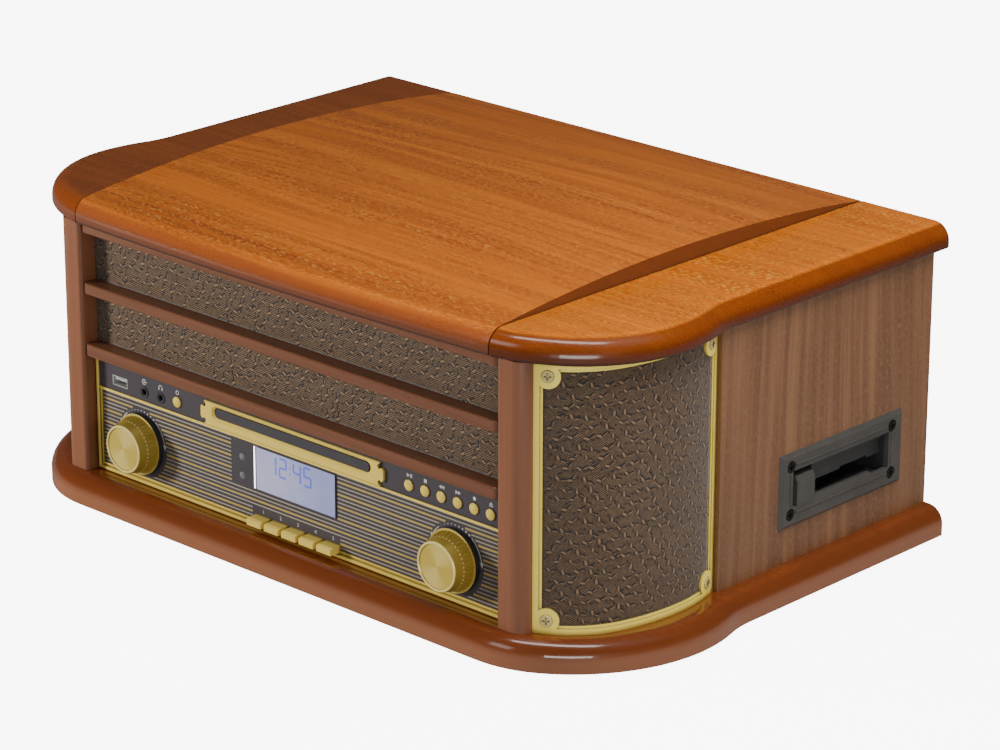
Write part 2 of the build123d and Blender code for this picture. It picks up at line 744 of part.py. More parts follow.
def cd_loader():
    """Housing that the drawer slides in, on two side brackets that stand on the base."""
    x = (-tray_half - 8, tray_half + 8)
    y = (board_y, tray_front + tray_length + 10)
    house = box(x, y, (tray_z - 12, tray_z + 6.5))
    channel = box((-tray_half - tray_gap, tray_half + tray_gap), (y[0] - 1, tray_front + tray_length + tray_gap),
                  (tray_z - tray_thickness / 2 - tray_gap, tray_z + tray_thickness / 2 + tray_gap))
    house -= channel
    for side in (-1, 1):
        foot = sorted((side * (tray_half + 8), side * (tray_half + 3)))
        house += box(foot, (base_y[0] + 2, y[1]), (base_top, tray_z - 12))
    return house


# ---------------------------------------------------------------- wings and lid
def top_solid():
    """Top of the cabinet in one piece, with the moulded edge, before it is cut into wings and lid."""
    face = closed_outline(top_flat_half, top_front_y, top_radii, rear_y, top_bow)
    board = Pos(0, 0, body_top) * extrude(face, amount=board_thickness, dir=(0, 0, 1))
    board = fillet(all_but_back(board.edges().group_by(Axis.Z)[-1], rear_y), ovolo_radius)
    return fillet(all_but_back(board.edges().group_by(Axis.Z)[0], rear_y), top_edge_round)


def wing():
    return top_solid() & box((wing_inner, far), (front_y, rear_y + 1), (0, far))


lid_board = 4.0
lid_side_rim = 8.0
lid_front_rim = 12.0
lid_rear_rim = 10.0
lid_bottom = body_top + seat_gap
crown_front = top_front_y + ovolo_radius
hinge_half_width = 20.0
hinge_across = 110.0
barrel_radius = 2.2
pin_radius = 0.9
leaf_thickness = 1.2
barrel_y = body_rear_y + 2.8
barrel_z = body_top - 0.8


def crown_slab(drop, x_half, y0, y1):
    """Everything under the crowned top, lowered by drop, between two Y values."""
    middle = (crown_front + rear_y) / 2
    reach = (rear_y - crown_front) / 2
    radius = (reach ** 2 + crown_rise ** 2) / (2 * crown_rise)
    centre_z = top_z + crown_rise - radius
    dome = rod_x((-x_half, x_half), middle, centre_z, radius - drop)
    return dome & box((-x_half, x_half), (y0, y1), (lid_bottom - 30, top_z + 2 * crown_rise))


def lid():
    """Crowned lid on a rim, hollow below, with a mortise for each hinge."""
    outline = closed_outline(top_flat_half, top_front_y, top_radii, rear_y, top_bow)
    plan = Pos(0, 0, lid_bottom) * extrude(outline, amount=60, dir=(0, 0, 1))
    block = crown_slab(0, lid_half_width, front_y, rear_y) & plan
    top_edges = block.edges().filter_by(lambda e: e.center().Y < top_front_y + 2 and e.center().Z > top_z - 3
                                        and abs(e.center().X) < lid_half_width - 1)
    block = fillet(top_edges, ovolo_radius - 0.5)
    low_edges = block.edges().group_by(Axis.Z)[0].filter_by(
        lambda e: e.center().Y < top_front_y + 2 and abs(e.center().X) < lid_half_width - 1)
    block = fillet(low_edges, top_edge_round)
    hollow = crown_slab(lid_board, lid_half_width - lid_side_rim, top_front_y + lid_front_rim,
                        rear_y - lid_rear_rim)
    block -= hollow
    for side in (-1, 1):
        middle = side * hinge_across
        span = (middle - hinge_half_width - seat_gap, middle + hinge_half_width + seat_gap)
        block -= box(span, (rear_y - lid_rear_rim - 1, rear_y + 1), (lid_bottom - 1, lid_bottom + leaf_thickness))
        block -= rod_x(span, barrel_y, barrel_z, barrel_radius + seat_gap)
    return block


def fixed_hinge_leaves():
    """Leaf on the back panel with its two outer knuckles and the pin."""
    leaves = []
    for side in (-1, 1):
        mid = side * hinge_across
        third = hinge_half_width / 3
        leaf = box((mid - hinge_half_width, mid + hinge_half_width),
                   (body_rear_y, body_rear_y + leaf_thickness), (barrel_z - 18, barrel_z - 1))
        leaf -= rod_x((mid - third, mid + third), barrel_y, barrel_z, barrel_radius + seat_gap)
        for x in ((mid - hinge_half_width, mid - third), (mid + third, mid + hinge_half_width)):
            leaf += rod_x(x, barrel_y, barrel_z, barrel_radius)
            leaf += box(x, (body_rear_y, barrel_y), (barrel_z - barrel_radius, barrel_z - 1))
        leaf += rod_x((mid - third - 1, mid + third + 1), barrel_y, barrel_z, pin_radius)
        leaves.append(leaf)
    return leaves


def lid_hinge_leaves():
    """Leaf let into the lid rim with the middle knuckle."""
    leaves = []
    for side in (-1, 1):
        mid = side * hinge_across
        half = hinge_half_width / 3 - seat_gap
        leaf = box((mid - hinge_half_width, mid + hinge_half_width),
                   (rear_y - lid_rear_rim, barrel_y - barrel_radius - 0.6), (lid_bottom, lid_bottom + leaf_thickness))
        leaf += box((mid - half, mid + half), (barrel_y - barrel_radius - 1, barrel_y),
                    (lid_bottom, lid_bottom + leaf_thickness))
        leaf += rod_x((mid - half, mid + half), barrel_y, barrel_z, barrel_radius)
        leaf -= rod_x((mid - half - 1, mid + half + 1), barrel_y, barrel_z, pin_radius + shaft_gap)
        leaves.append(leaf)
    return leaves


# ---------------------------------------------------------------- turntable
flange_z = (body_top - deck_flange, body_top)
deck_floor = body_top - deck_floor_drop
deck_y = (baffle_y + baffle_thickness + deck_wall, back_inner - deck_wall)
motor_place = (spindle[0] + motor_distance * math.cos(math.radians(motor_bearing)),
               spindle[1] + motor_distance * math.sin(math.radians(motor_bearing)))
bearing_depth = 14.0
mat_top = body_top + mat_top_above_body
platter_top = mat_top - mat_thickness
platter_bottom = platter_top - platter_height
switch_y = deck_y[0] + switch_from_front
speed_across = deck_half - speed_from_wall
stop_across = deck_half - stop_from_wall
speed_travel = 16.0
stop_travel = 6.0


def turntable_deck():
    """Moulded deck: a flange under the wings, a well, the platter bearing and the switch slots."""
    walls = box((-deck_half - deck_wall, deck_half + deck_wall), (deck_y[0] - deck_wall, deck_y[1] + deck_wall),
                (deck_floor - deck_wall, body_top - deck_flange))
    pillar_back = pillar_y - pillar_nose + pillar_depth
    flange = box((-pillar_inner - 10, pillar_inner + 10), (pillar_back, back_inner), flange_z)
    front_lip = box((-pillar_inner, pillar_inner), (baffle_y, pillar_back), flange_z)
    deck = walls + flange + front_lip
    well = box((-deck_half, deck_half), deck_y, (deck_floor, body_top + 1))
    deck -= fillet(well.edges().filter_by(Axis.Z), 12)
    deck += rod_z(*spindle, (deck_floor - deck_wall - bearing_depth, deck_floor), 8)
    deck -= rod_z(*spindle, (0, far), spindle_radius + shaft_gap)
    deck -= rod_z(*motor_place, (deck_floor - 10, deck_floor + 1), pulley_radius + 2)
    deck += rod_z(*spindle, (deck_floor, deck_floor + 1.5), 20) - rod_z(*spindle, (0, far), 9)
    deck -= box((speed_across - 1.6, speed_across + 1.6), (switch_y - 4, switch_y + speed_travel + 4),
                (deck_floor - 10, deck_floor + 1))
    deck -= box((stop_across - 4, stop_across + stop_travel + 4), (switch_y - 1.6, switch_y + 1.6),
                (deck_floor - 10, deck_floor + 1))
    rest_y = arm_pivot[1] - arm_rest_distance
    rest_top = body_top + arm_height - arm_radius - seat_gap
    deck += box((arm_pivot[0] - 5, arm_pivot[0] + 7), (rest_y - 4, rest_y + 4), (deck_floor - 1, rest_top))
    deck += box((arm_pivot[0] + arm_radius + seat_gap, arm_pivot[0] + 7), (rest_y - 4, rest_y + 4),
                (rest_top - 1, rest_top + 5))
    return deck


def platter():
    """Cast platter: raised rim, recess for the mat, belt rim and hub below, and the spindle."""
    low, top = platter_bottom, platter_top
    profile = [(0, low - bearing_depth), (spindle_radius, low - bearing_depth), (spindle_radius, low),
               (10, low), (12, low + 9), (belt_rim_radius - 4, low + 9), (belt_rim_radius - 4, low + 1),
               (belt_rim_radius, low + 1), (belt_rim_radius, low + 10.5), (platter_radius - 6, low + 10.5),
               (platter_radius - 4, low), (platter_radius - 0.6, low), (platter_radius, low + 1),
               (platter_radius, top + 0.6), (platter_radius - 0.8, top + 1.4), (platter_radius - 3, top + 1.4),
               (platter_radius - 3, top), (spindle_radius, top), (spindle_radius, top + 8),
               (spindle_radius - 1.5, top + 10), (0, top + 10)]
    face = make_face(Polyline([(r, 0, z) for r, z in profile], close=True))
    return Pos(*spindle, 0) * revolve(face, Axis.Z, 360)


def platter_mat():
    mat = rod_z(*spindle, (platter_top, mat_top), platter_radius - 3.4)
    mat -= rod_z(*spindle, (0, far), spindle_radius + shaft_gap)
    for radius in (44, 54, 64, 74, 84):
        groove = Cylinder(radius + 0.8, 1.2) - Cylinder(radius - 0.8, 1.2)
        mat -= Pos(*spindle, mat_top) * groove
    return mat


belt_z = (platter_bottom + 3, platter_bottom + 8)


def motor_pulley():
    """Grooved pulley on the motor shaft."""
    low, high = belt_z[0] - 1.5, belt_z[1] + 1.5
    pulley = rod_z(*motor_place, (low, high), pulley_radius + 1)
    ring = Cylinder(pulley_radius + 2, belt_z[1] - belt_z[0] + 0.6) - Cylinder(
        pulley_radius, belt_z[1] - belt_z[0] + 0.6)
    pulley -= Pos(*motor_place, (belt_z[0] + belt_z[1]) / 2) * ring
    return pulley + rod_z(*motor_place, (deck_floor - 20, low), 1.0)


def platter_motor():
    motor = rod_z(*motor_place, (deck_floor - deck_wall - 28, deck_floor - deck_wall), 17)
    motor += box((motor_place[0] - 24, motor_place[0] + 24), (motor_place[1] - 8, motor_place[1] + 8),
                 (deck_floor - deck_wall - 2, deck_floor - deck_wall))
    return motor - rod_z(*motor_place, (deck_floor - 22, far), 1.0 + shaft_gap)


belt_thickness = 0.8
belt_gap = 0.2


def belt_loop(extra):
    """Region inside a belt that runs that much outside both rims."""
    big = Pos(*spindle) * CenterArc((0, 0), belt_rim_radius + extra, 0, 360)
    small = Pos(*motor_place) * CenterArc((0, 0), pulley_radius + extra, 0, 360)
    return make_hull([big, small])


def drive_belt():
    ring = belt_loop(belt_gap + belt_thickness) - belt_loop(belt_gap)
    return Pos(0, 0, belt_z[0]) * extrude(ring, amount=belt_z[1] - belt_z[0], dir=(0, 0, 1))


arm_z = body_top + arm_height
pivot_top = body_top - 1.5
pivot_post_radius = 4.0


def tonearm_base():
    """Round pedestal with the bearing bush of the arm, and the block of the cue lever."""
    base = rod_z(*arm_pivot, (deck_floor, pivot_top), 13.5)
    base = chamfer(base.edges().group_by(Axis.Z)[-1], 1.5)
    base -= rod_z(*arm_pivot, (pivot_top - 12, far), pivot_post_radius + shaft_gap)
    block = box((lever_place[0] - 5, lever_place[0] - 1.8), (lever_place[1] - 5, lever_place[1] + 5),
                (deck_floor, body_top + 4))
    block -= rod_x((lever_place[0] - 8, lever_place[0]), lever_place[1], body_top, 1.5 + shaft_gap)
    return [base, block]


def tonearm_gimbal():
    """Yoke that turns in the pedestal and carries the arm between two cheeks."""
    x, y = arm_pivot
    low = pivot_top + seat_gap
    yoke = rod_z(x, y, (low, low + 2.5), 10.5) + rod_z(x, y, (pivot_top - 11, low), pivot_post_radius)
    for side in (-1, 1):
        cheek = sorted((x + side * 5.2, x + side * 7.6))
        yoke += box(cheek, (y - 5, y + 5), (low + 1, arm_z + 3.5))
    return yoke - rod_x((x - 10, x + 10), y, arm_z, 1.2 + shaft_gap)


def tonearm():
    """Arm tube with its pivot pin, counterweight and head shell."""
    x, y = arm_pivot
    tip = y - arm_length
    arm = rod_y(x, (tip + 22, y + 12), arm_z, arm_radius)
    arm += rod_y(x, (y + 12, y + 26), arm_z, 7.0)
    arm += box((x - 4, x + 4), (y - 7, y + 7), (arm_z - 3.5, arm_z + 3.5))
    arm += rod_x((x - 7.4, x + 7.4), y, arm_z, 1.2)
    shell = box((x - 8, x + 8), (tip - 6, tip + 24), (arm_z - 0.6, arm_z + 1.6))
    shell = fillet(shell.edges().filter_by(Axis.Z), 3.0)
    arm += shell
    return arm + box((x + 6, x + 8), (tip - 14, tip - 4), (arm_z - 0.6, arm_z + 1.0))


def cartridge():
    """Pick-up with its stylus holder."""
    x = arm_pivot[0]
    tip = arm_pivot[1] - arm_length
    body = box((x - 5, x + 5), (tip - 2, tip + 14), (arm_z - 4.6, arm_z - 0.6))
    body += box((x - 2.5, x + 2.5), (tip - 3, tip + 9), (arm_z - 5.2, arm_z - 4.4))
    return body


def cue_lever():
    x, y = lever_place
    lever = rod_x((x - 5, x + 1.6), y, body_top, 1.5)
    lever += rod_x((x - 1.5, x + 1.6), y, body_top, 3.2)
    lever += box((x - 1.5, x + 1.6), (y - 20, y), (body_top - 1.5, body_top + 1.5))
    return lever + rod_x((x - 3, x + 3), y - 20, body_top, 2.6)


def slide_switch(x, y, long_x):
    """Switch knob with a stem through the deck slot."""
    size = (9, 6) if long_x else (6, 9)
    z = deck_floor + seat_gap
    cap = box((x - size[0] / 2, x + size[0] / 2), (y - size[1] / 2, y + size[1] / 2), (z, z + 5))
    cap = fillet(cap.edges().group_by(Axis.Z)[-1], 0.8)
    stem = (2.4, 1.3) if long_x else (1.3, 2.4)
    return cap + box((x - stem[0], x + stem[0]), (y - stem[1], y + stem[1]), (deck_floor - deck_wall - 2, z + 1))


# ---------------------------------------------------------------- cassette deck
panel_x = side_face
bezel_face_x = panel_x + cassette_proud
cassette_y = (body_rear_y - cassette_from_back - cassette_length, body_rear_y - cassette_from_back)
cassette_z = (up_front(cassette_bottom), up_front(cassette_bottom + cassette_tall))
mouth_y = (cassette_y[0] + mouth_from_front, cassette_y[1] - mouth_from_rear)
mouth_z = (cassette_z[0] + mouth_rise, cassette_z[0] + mouth_rise + mouth_tall)
eject_y = (mouth_y[0] + 3.5, mouth_y[0] + 3.5 + eject_width)
chamber_y = (eject_y[1] + 1.5, mouth_y[1] - 1.0)
chamber_z = (mouth_z[0] - 4.0, mouth_z[1] - 2.5)
chamber_depth = 106.0
case_wall = 3.0
case_under = 6.0
case_depth = 118.0
cassette_screw_y = (cassette_y[0] + 8.8, cassette_y[1] - 11.5)
cassette_screw_z = (cassette_z[0] + 9.0, cassette_z[1] - 8.0)
flap_x = panel_x - 4.5
flap_thickness = 1.6
flap_pin = 1.1
flap_above_mouth = 8.5         # lower edge of the flap above the bottom of the mouth
flap_pin_z = chamber_z[1] - 1.6


def cassette_bezel():
    """Bevelled frame on the side panel, with ribs between its screws and a stepped lower lip."""
    plate = box((panel_x, bezel_face_x), cassette_y, cassette_z)
    plate = chamfer(plate.faces().sort_by(Axis.X)[-1].edges(), cassette_bevel)
    ribs = []
    for z in (cassette_screw_z[0] + 0.6, cassette_screw_z[1] + 0.4):
        ribs.append(rod_y(bezel_face_x, (cassette_screw_y[0] + 5, cassette_screw_y[1] - 5), z, 0.8))
    for y in (cassette_screw_y[0], cassette_screw_y[1]):
        ribs.append(rod_z(bezel_face_x, y, (cassette_screw_z[0] + 5, cassette_screw_z[1] - 5), 0.8))
    for rib in ribs:
        plate += rib
    plate -= box((0, far), mouth_y, mouth_z)
    lip_step = mouth_y[1] - 18
    plate += box((panel_x, bezel_face_x), (eject_y[1] + 1, lip_step), (mouth_z[0] - 0.1, mouth_z[0] + 2.3))
    for y in cassette_screw_y:
        for z in cassette_screw_z:
            plate -= rod_x((bezel_face_x - 1.2, far), y, z, 3.9)
            plate -= rod_x((0, far), y, z, 1.8)
    return plate


def cassette_deck():
    """Mechanism case behind the side panel, with the cassette chamber and the shaft of the eject button."""
    y = (mouth_y[0] - case_wall, mouth_y[1] + case_wall)
    z = (mouth_z[0] - case_under, mouth_z[1] + case_wall)
    case = box((panel_x - case_depth, panel_x), y, z)
    case -= box((panel_x - chamber_depth, panel_x + 1), chamber_y, chamber_z)
    case -= box((panel_x - 12, panel_x + 1), (eject_y[0] - seat_gap, eject_y[1] + seat_gap),
                (mouth_z[0] - 0.5, mouth_z[1] - 1))
    for wall in chamber_y:
        case -= rod_y(flap_x, (wall - 1, wall + 1), flap_pin_z, flap_pin + shaft_gap)
    for height in (0.35, 0.65):
        at = chamber_z[0]
        case += rod_z(panel_x - chamber_depth * 0.62, chamber_y[0] + (chamber_y[1] - chamber_y[0]) * height,
                      (at - 1, at + 2), 3.0)
    case += box((panel_x - case_depth, panel_x - 100), (y[0] + 10, y[1] - 10), (base_top, z[0]))
    return case


def eject_button():
    """Curved piano key beside the mouth."""
    z = (mouth_z[0] + 0.3, mouth_z[0] + 18.4)
    x = (panel_x - 8, panel_x + 3.2)
    key = box(x, eject_y, z)
    bulge = rod_y(panel_x - 22, (eject_y[0] - 1, eject_y[1] + 1), z[0] + 4, 27.2)
    key &= bulge
    return fillet(key.edges().filter_by(Axis.X), 0.5)


def cassette_flap():
    """Dust flap hung on two pins at its top edge."""
    y = (chamber_y[0] + 0.4, chamber_y[1] - 0.4)
    z = (mouth_z[0] + flap_above_mouth, flap_pin_z + 1.2)
    flap = box((flap_x - flap_thickness / 2, flap_x + flap_thickness / 2), y, z)
    notch = box((flap_x - 5, flap_x + 5), (y[0] + 30, y[1] - 12), (z[0] - 1, z[0] + 1.3))
    flap -= notch
    return flap + rod_y(flap_x, (y[0] - 1.1, y[1] + 1.1), flap_pin_z, flap_pin)


# ---------------------------------------------------------------- back and inside
def back_panel():
    """Rear board with vents, screw holes and the socket openings."""
    panel = box((-side_inner, side_inner), (back_inner, body_rear_y), (plinth_top, body_top))
    z = (up_front(back_vent_rise), up_front(back_vent_rise + back_vent_tall))
    for group in (-1, 0, 1):
        for number in range(back_vent_count):
            x = (group - 0.5) * back_vent_group + number * back_vent_pitch
            panel -= box((x, x + vent_slot), (front_y, rear_y), z)
    panel -= box(rca_window_x, (front_y, rear_y), rca_window_z)
    panel -= box(inlet_window_x, (front_y, rear_y), inlet_window_z)
    return panel


back_vent_rise = 95.0
back_vent_tall = 30.0
back_vent_count = 12
back_vent_pitch = 6.0
back_vent_group = 100.0
phono_length = 5.0
rca_window_x = (90.0, 150.0)
rca_window_z = (up_front(30), up_front(56))
inlet_window_x = (-170.0, -140.0)
inlet_window_z = (up_front(20), up_front(42))


def rear_sockets():
    """Phono socket plate with the aerial bush, and the two-pin mains inlet."""
    plate = box(rca_window_x, (back_inner, body_rear_y), rca_window_z)
    middle = (rca_window_z[0] + rca_window_z[1]) / 2
    for x in (rca_window_x[0] + 14, rca_window_x[0] + 28):
        plate += rod_y(x, (body_rear_y - 1, body_rear_y + phono_length), middle, 4.2)
        plate -= rod_y(x, (body_rear_y - 3, body_rear_y + phono_length + 1), middle, 3.4)
        plate += rod_y(x, (body_rear_y - 4, body_rear_y + phono_length - 1), middle, 1.6)
    plate += rod_y(rca_window_x[1] - 12, (body_rear_y - 1, body_rear_y + 3), middle, 4.0)
    plate -= rod_y(rca_window_x[1] - 12, (body_rear_y - 3, body_rear_y + 4), middle, 1.5)
    inlet = box(inlet_window_x, (back_inner - 12, body_rear_y), inlet_window_z)
    x = (inlet_window_x[0] + inlet_window_x[1]) / 2
    z = (inlet_window_z[0] + inlet_window_z[1]) / 2
    recess = SlotOverall(17, 9)
    plane = Plane((x, body_rear_y + 1, z), x_dir=(-1, 0, 0), z_dir=(0, 1, 0))
    inlet -= extrude(plane * recess, amount=-14)
    for side in (-4.3, 4.3):
        inlet += rod_y(x + side, (back_inner - 10, body_rear_y - 3), z, 1.2)
    return [plate, inlet]


main_board_width = 160.0
main_board_depth = 90.0


def main_board():
    """Amplifier board on its pillars, with a finned heat sink and capacitors."""
    right, rear = panel_x - case_depth - 6.8, base_y[1] - 13.6
    x, y = (right - main_board_width, right), (rear - main_board_depth, rear)
    z = base_top + 5
    board = box(x, y, (z, z + board_thickness_pcb))
    for px in (x[0] + 6, x[1] - 6):
        for py in (y[0] + 6, y[1] - 6):
            board += rod_z(px, py, (base_top, z + 1), 3.5)
    top = z + board_thickness_pcb
    board += box((x[1] - 70, x[1] - 10), (y[1] - 22, y[1] - 18), (top - 0.5, top + 40))
    for number in range(8):
        fin = x[1] - 68 + number * 8
        board += box((fin, fin + 1.6), (y[1] - 19, y[1] - 4), (top - 0.5, top + 40))
    for number in range(4):
        board += rod_z(x[0] + 22 + 20 * number, y[0] + 24, (top - 0.5, top + 24), 8)
    return board


def power_transformer():
    """Mains transformer: a laminated core round a winding."""
    left, rear = 15.0 - base_half, base_y[1] - 18.6
    x, y = (left, left + 60), (rear - 50, rear)
    core = box(x, y, (base_top + 8, base_top + 50))
    winding = box((x[0] + 10, x[1] - 10), (y[0] - 8, y[1] + 8), (base_top + 16, base_top + 42))
    feet = box((x[0] - 8, x[1] + 8), (y[0] + 15, y[1] - 15), (base_top, base_top + 8))
    return core + winding + feet


def cabinet_screws():
    """Black screws: back panel, base panel and cassette bezel."""
    screws = []
    back = []
    outer = side_inner - 10.8
    for z in (plinth_top + 10.0, body_top - 13.5):
        back += [(x, z) for x in (-outer, -outer / 3, outer / 3, outer)]
    for x, z in back:
        at = Plane((x, body_rear_y + 1.5, z), x_dir=(1, 0, 0), z_dir=(0, 1, 0))
        screws.append(pan_screw(at, 3.6))
    for x in (9.0 - base_half, 0, base_half - 9.0):
        for y in (base_y[0] + 8, base_y[1] - 8):
            at = Plane((x, y, foot_height - 1.5), x_dir=(1, 0, 0), z_dir=(0, 0, -1))
            screws.append(pan_screw(at, 3.6))
    for y in cassette_screw_y:
        for z in cassette_screw_z:
            at = Plane((bezel_face_x - 0.1, y, z), x_dir=(0, 1, 0), z_dir=(1, 0, 0))
            screws.append(cross_head(at, 3.5, cassette_proud - 0.2, 1.1))
    return screws


def pan_screw(at, radius):
    """Pan head that stands on a face 1.5 mm behind its top."""
    head = Cylinder(radius, 1.5, align=(Align.CENTER, Align.CENTER, Align.MAX))
    head = fillet(head.edges().group_by(Axis.Z)[-1], 0.8)
    for turn in (0, 90):
        head -= Rot(0, 0, turn) * Box(radius * 1.2, radius * 0.28, 1.2)
    return at * head


def save(name, solids):
    """Write one node, which may hold several separate solids."""
    pieces = solids if isinstance(solids, list) else [solids]
    shape = pieces[0] if len(pieces) == 1 else Compound(children=pieces)
    export_step(shape, f"parts/{name}.step")


button_names = ["function", "play", "stop", "track_down", "track_up", "record", "open"]
key_names = ["menu", "info", "scan", "preset", "enter"]


def main():
    save("plinth", plinth_board())
    save("base_panel", base_panel())
    save("rubber_feet", rubber_feet())
    save("side_panel_left", side_panel(False))
    save("side_panel_right", side_panel(True))
    save("back_panel", back_panel())
    save("front_pillars", both_sides(pillar()))
    save("front_rails", [rail(*band) for band in rail_bands])
    save("front_baffle", front_baffle())
    save("grille_cloth", front_cloth() + both_sides(speaker_cloth()))
    save("speaker_frames", both_sides(speaker_frame()))
    screws = speaker_screws()
    save("speaker_frame_screws", screws + [mirror(screw, about=Plane.YZ) for screw in screws])
    save("speaker_baffles", both_sides(speaker_baffle()))
    save("speaker_drivers", both_sides(speaker_driver()))
    save("fascia", fascia())
    save("fascia_trim", fascia_trim())
    save("slot_bezel", slot_bezel())
    save("display_module", display_module())
    save("volume_knob", knob(-knob_across))
    save("tuning_knob", knob(knob_across))
    for name, x in zip(button_names, button_places()):
        save(f"{name}_button", round_button(x))
    for name, x in zip(key_names, key_places()):
        save(f"{name}_key", rectangular_key(x))
    save("cd_tray", cd_tray())
    save("cd_loader", cd_loader())
    right_wing = wing()
    save("wing_right", right_wing)
    save("wing_left", mirror(right_wing, about=Plane.YZ))
    save("lid", lid())
    save("hinge_leaves_fixed", fixed_hinge_leaves())
    save("hinge_leaves_lid", lid_hinge_leaves())
    save("turntable_deck", turntable_deck())
    save("platter", platter())
    save("platter_mat", platter_mat())
    save("platter_motor", platter_motor())
    save("motor_pulley", motor_pulley())
    save("drive_belt", drive_belt())
    save("tonearm_base", tonearm_base())
    save("tonearm_gimbal", tonearm_gimbal())
    save("tonearm", tonearm())
    save("cartridge", cartridge())
    save("cue_lever", cue_lever())
    save("speed_switch", slide_switch(speed_across, switch_y, False))
    save("auto_stop_switch", slide_switch(stop_across, switch_y, True))
    save("cassette_bezel", cassette_bezel())
    save("cassette_deck", cassette_deck())
    save("eject_button", eject_button())
    save("cassette_flap", cassette_flap())
    save("sockets", front_sockets() + rear_sockets())
    save("circuit_boards", [control_board(), main_board()])
    save("power_transformer", power_transformer())
    save("cabinet_screws", cabinet_screws())


main()
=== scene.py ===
import logging
import math
from collections.abc import Callable, Iterable, Sequence
from dataclasses import dataclass, field, replace
from enum import Enum
from functools import cache
from typing import Any

import bpy
from bpy.types import Material, Mesh, Node, NodeSocket as Socket, NodeTree, Object
from mathutils import Matrix, Vector


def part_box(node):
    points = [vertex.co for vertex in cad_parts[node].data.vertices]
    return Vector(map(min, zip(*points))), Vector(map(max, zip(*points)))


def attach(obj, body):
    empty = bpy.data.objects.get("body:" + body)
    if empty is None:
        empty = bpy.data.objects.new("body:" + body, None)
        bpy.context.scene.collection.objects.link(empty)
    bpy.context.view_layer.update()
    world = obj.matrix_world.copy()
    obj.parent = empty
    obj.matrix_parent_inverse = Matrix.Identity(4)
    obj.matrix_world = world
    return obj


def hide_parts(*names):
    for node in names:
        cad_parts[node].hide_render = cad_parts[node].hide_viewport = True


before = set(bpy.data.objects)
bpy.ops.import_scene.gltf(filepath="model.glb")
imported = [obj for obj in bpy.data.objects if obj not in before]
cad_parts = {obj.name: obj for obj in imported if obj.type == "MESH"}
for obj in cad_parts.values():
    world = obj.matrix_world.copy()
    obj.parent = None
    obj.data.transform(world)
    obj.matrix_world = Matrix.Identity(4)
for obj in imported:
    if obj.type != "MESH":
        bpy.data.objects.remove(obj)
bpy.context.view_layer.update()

LOG = logging.getLogger("music_centre")
MM = 0.001

Pair = tuple[float, float]
Colour = tuple[float, float, float]
Point = tuple[float, float, float]

# Socket types of the node groups
FLOAT, VECTOR = "NodeSocketFloat", "NodeSocketVector"
COLOUR, GEOMETRY = "NodeSocketColor", "NodeSocketGeometry"
COLOUR_AND_HEIGHT = (("Color", COLOUR), ("Height", FLOAT))


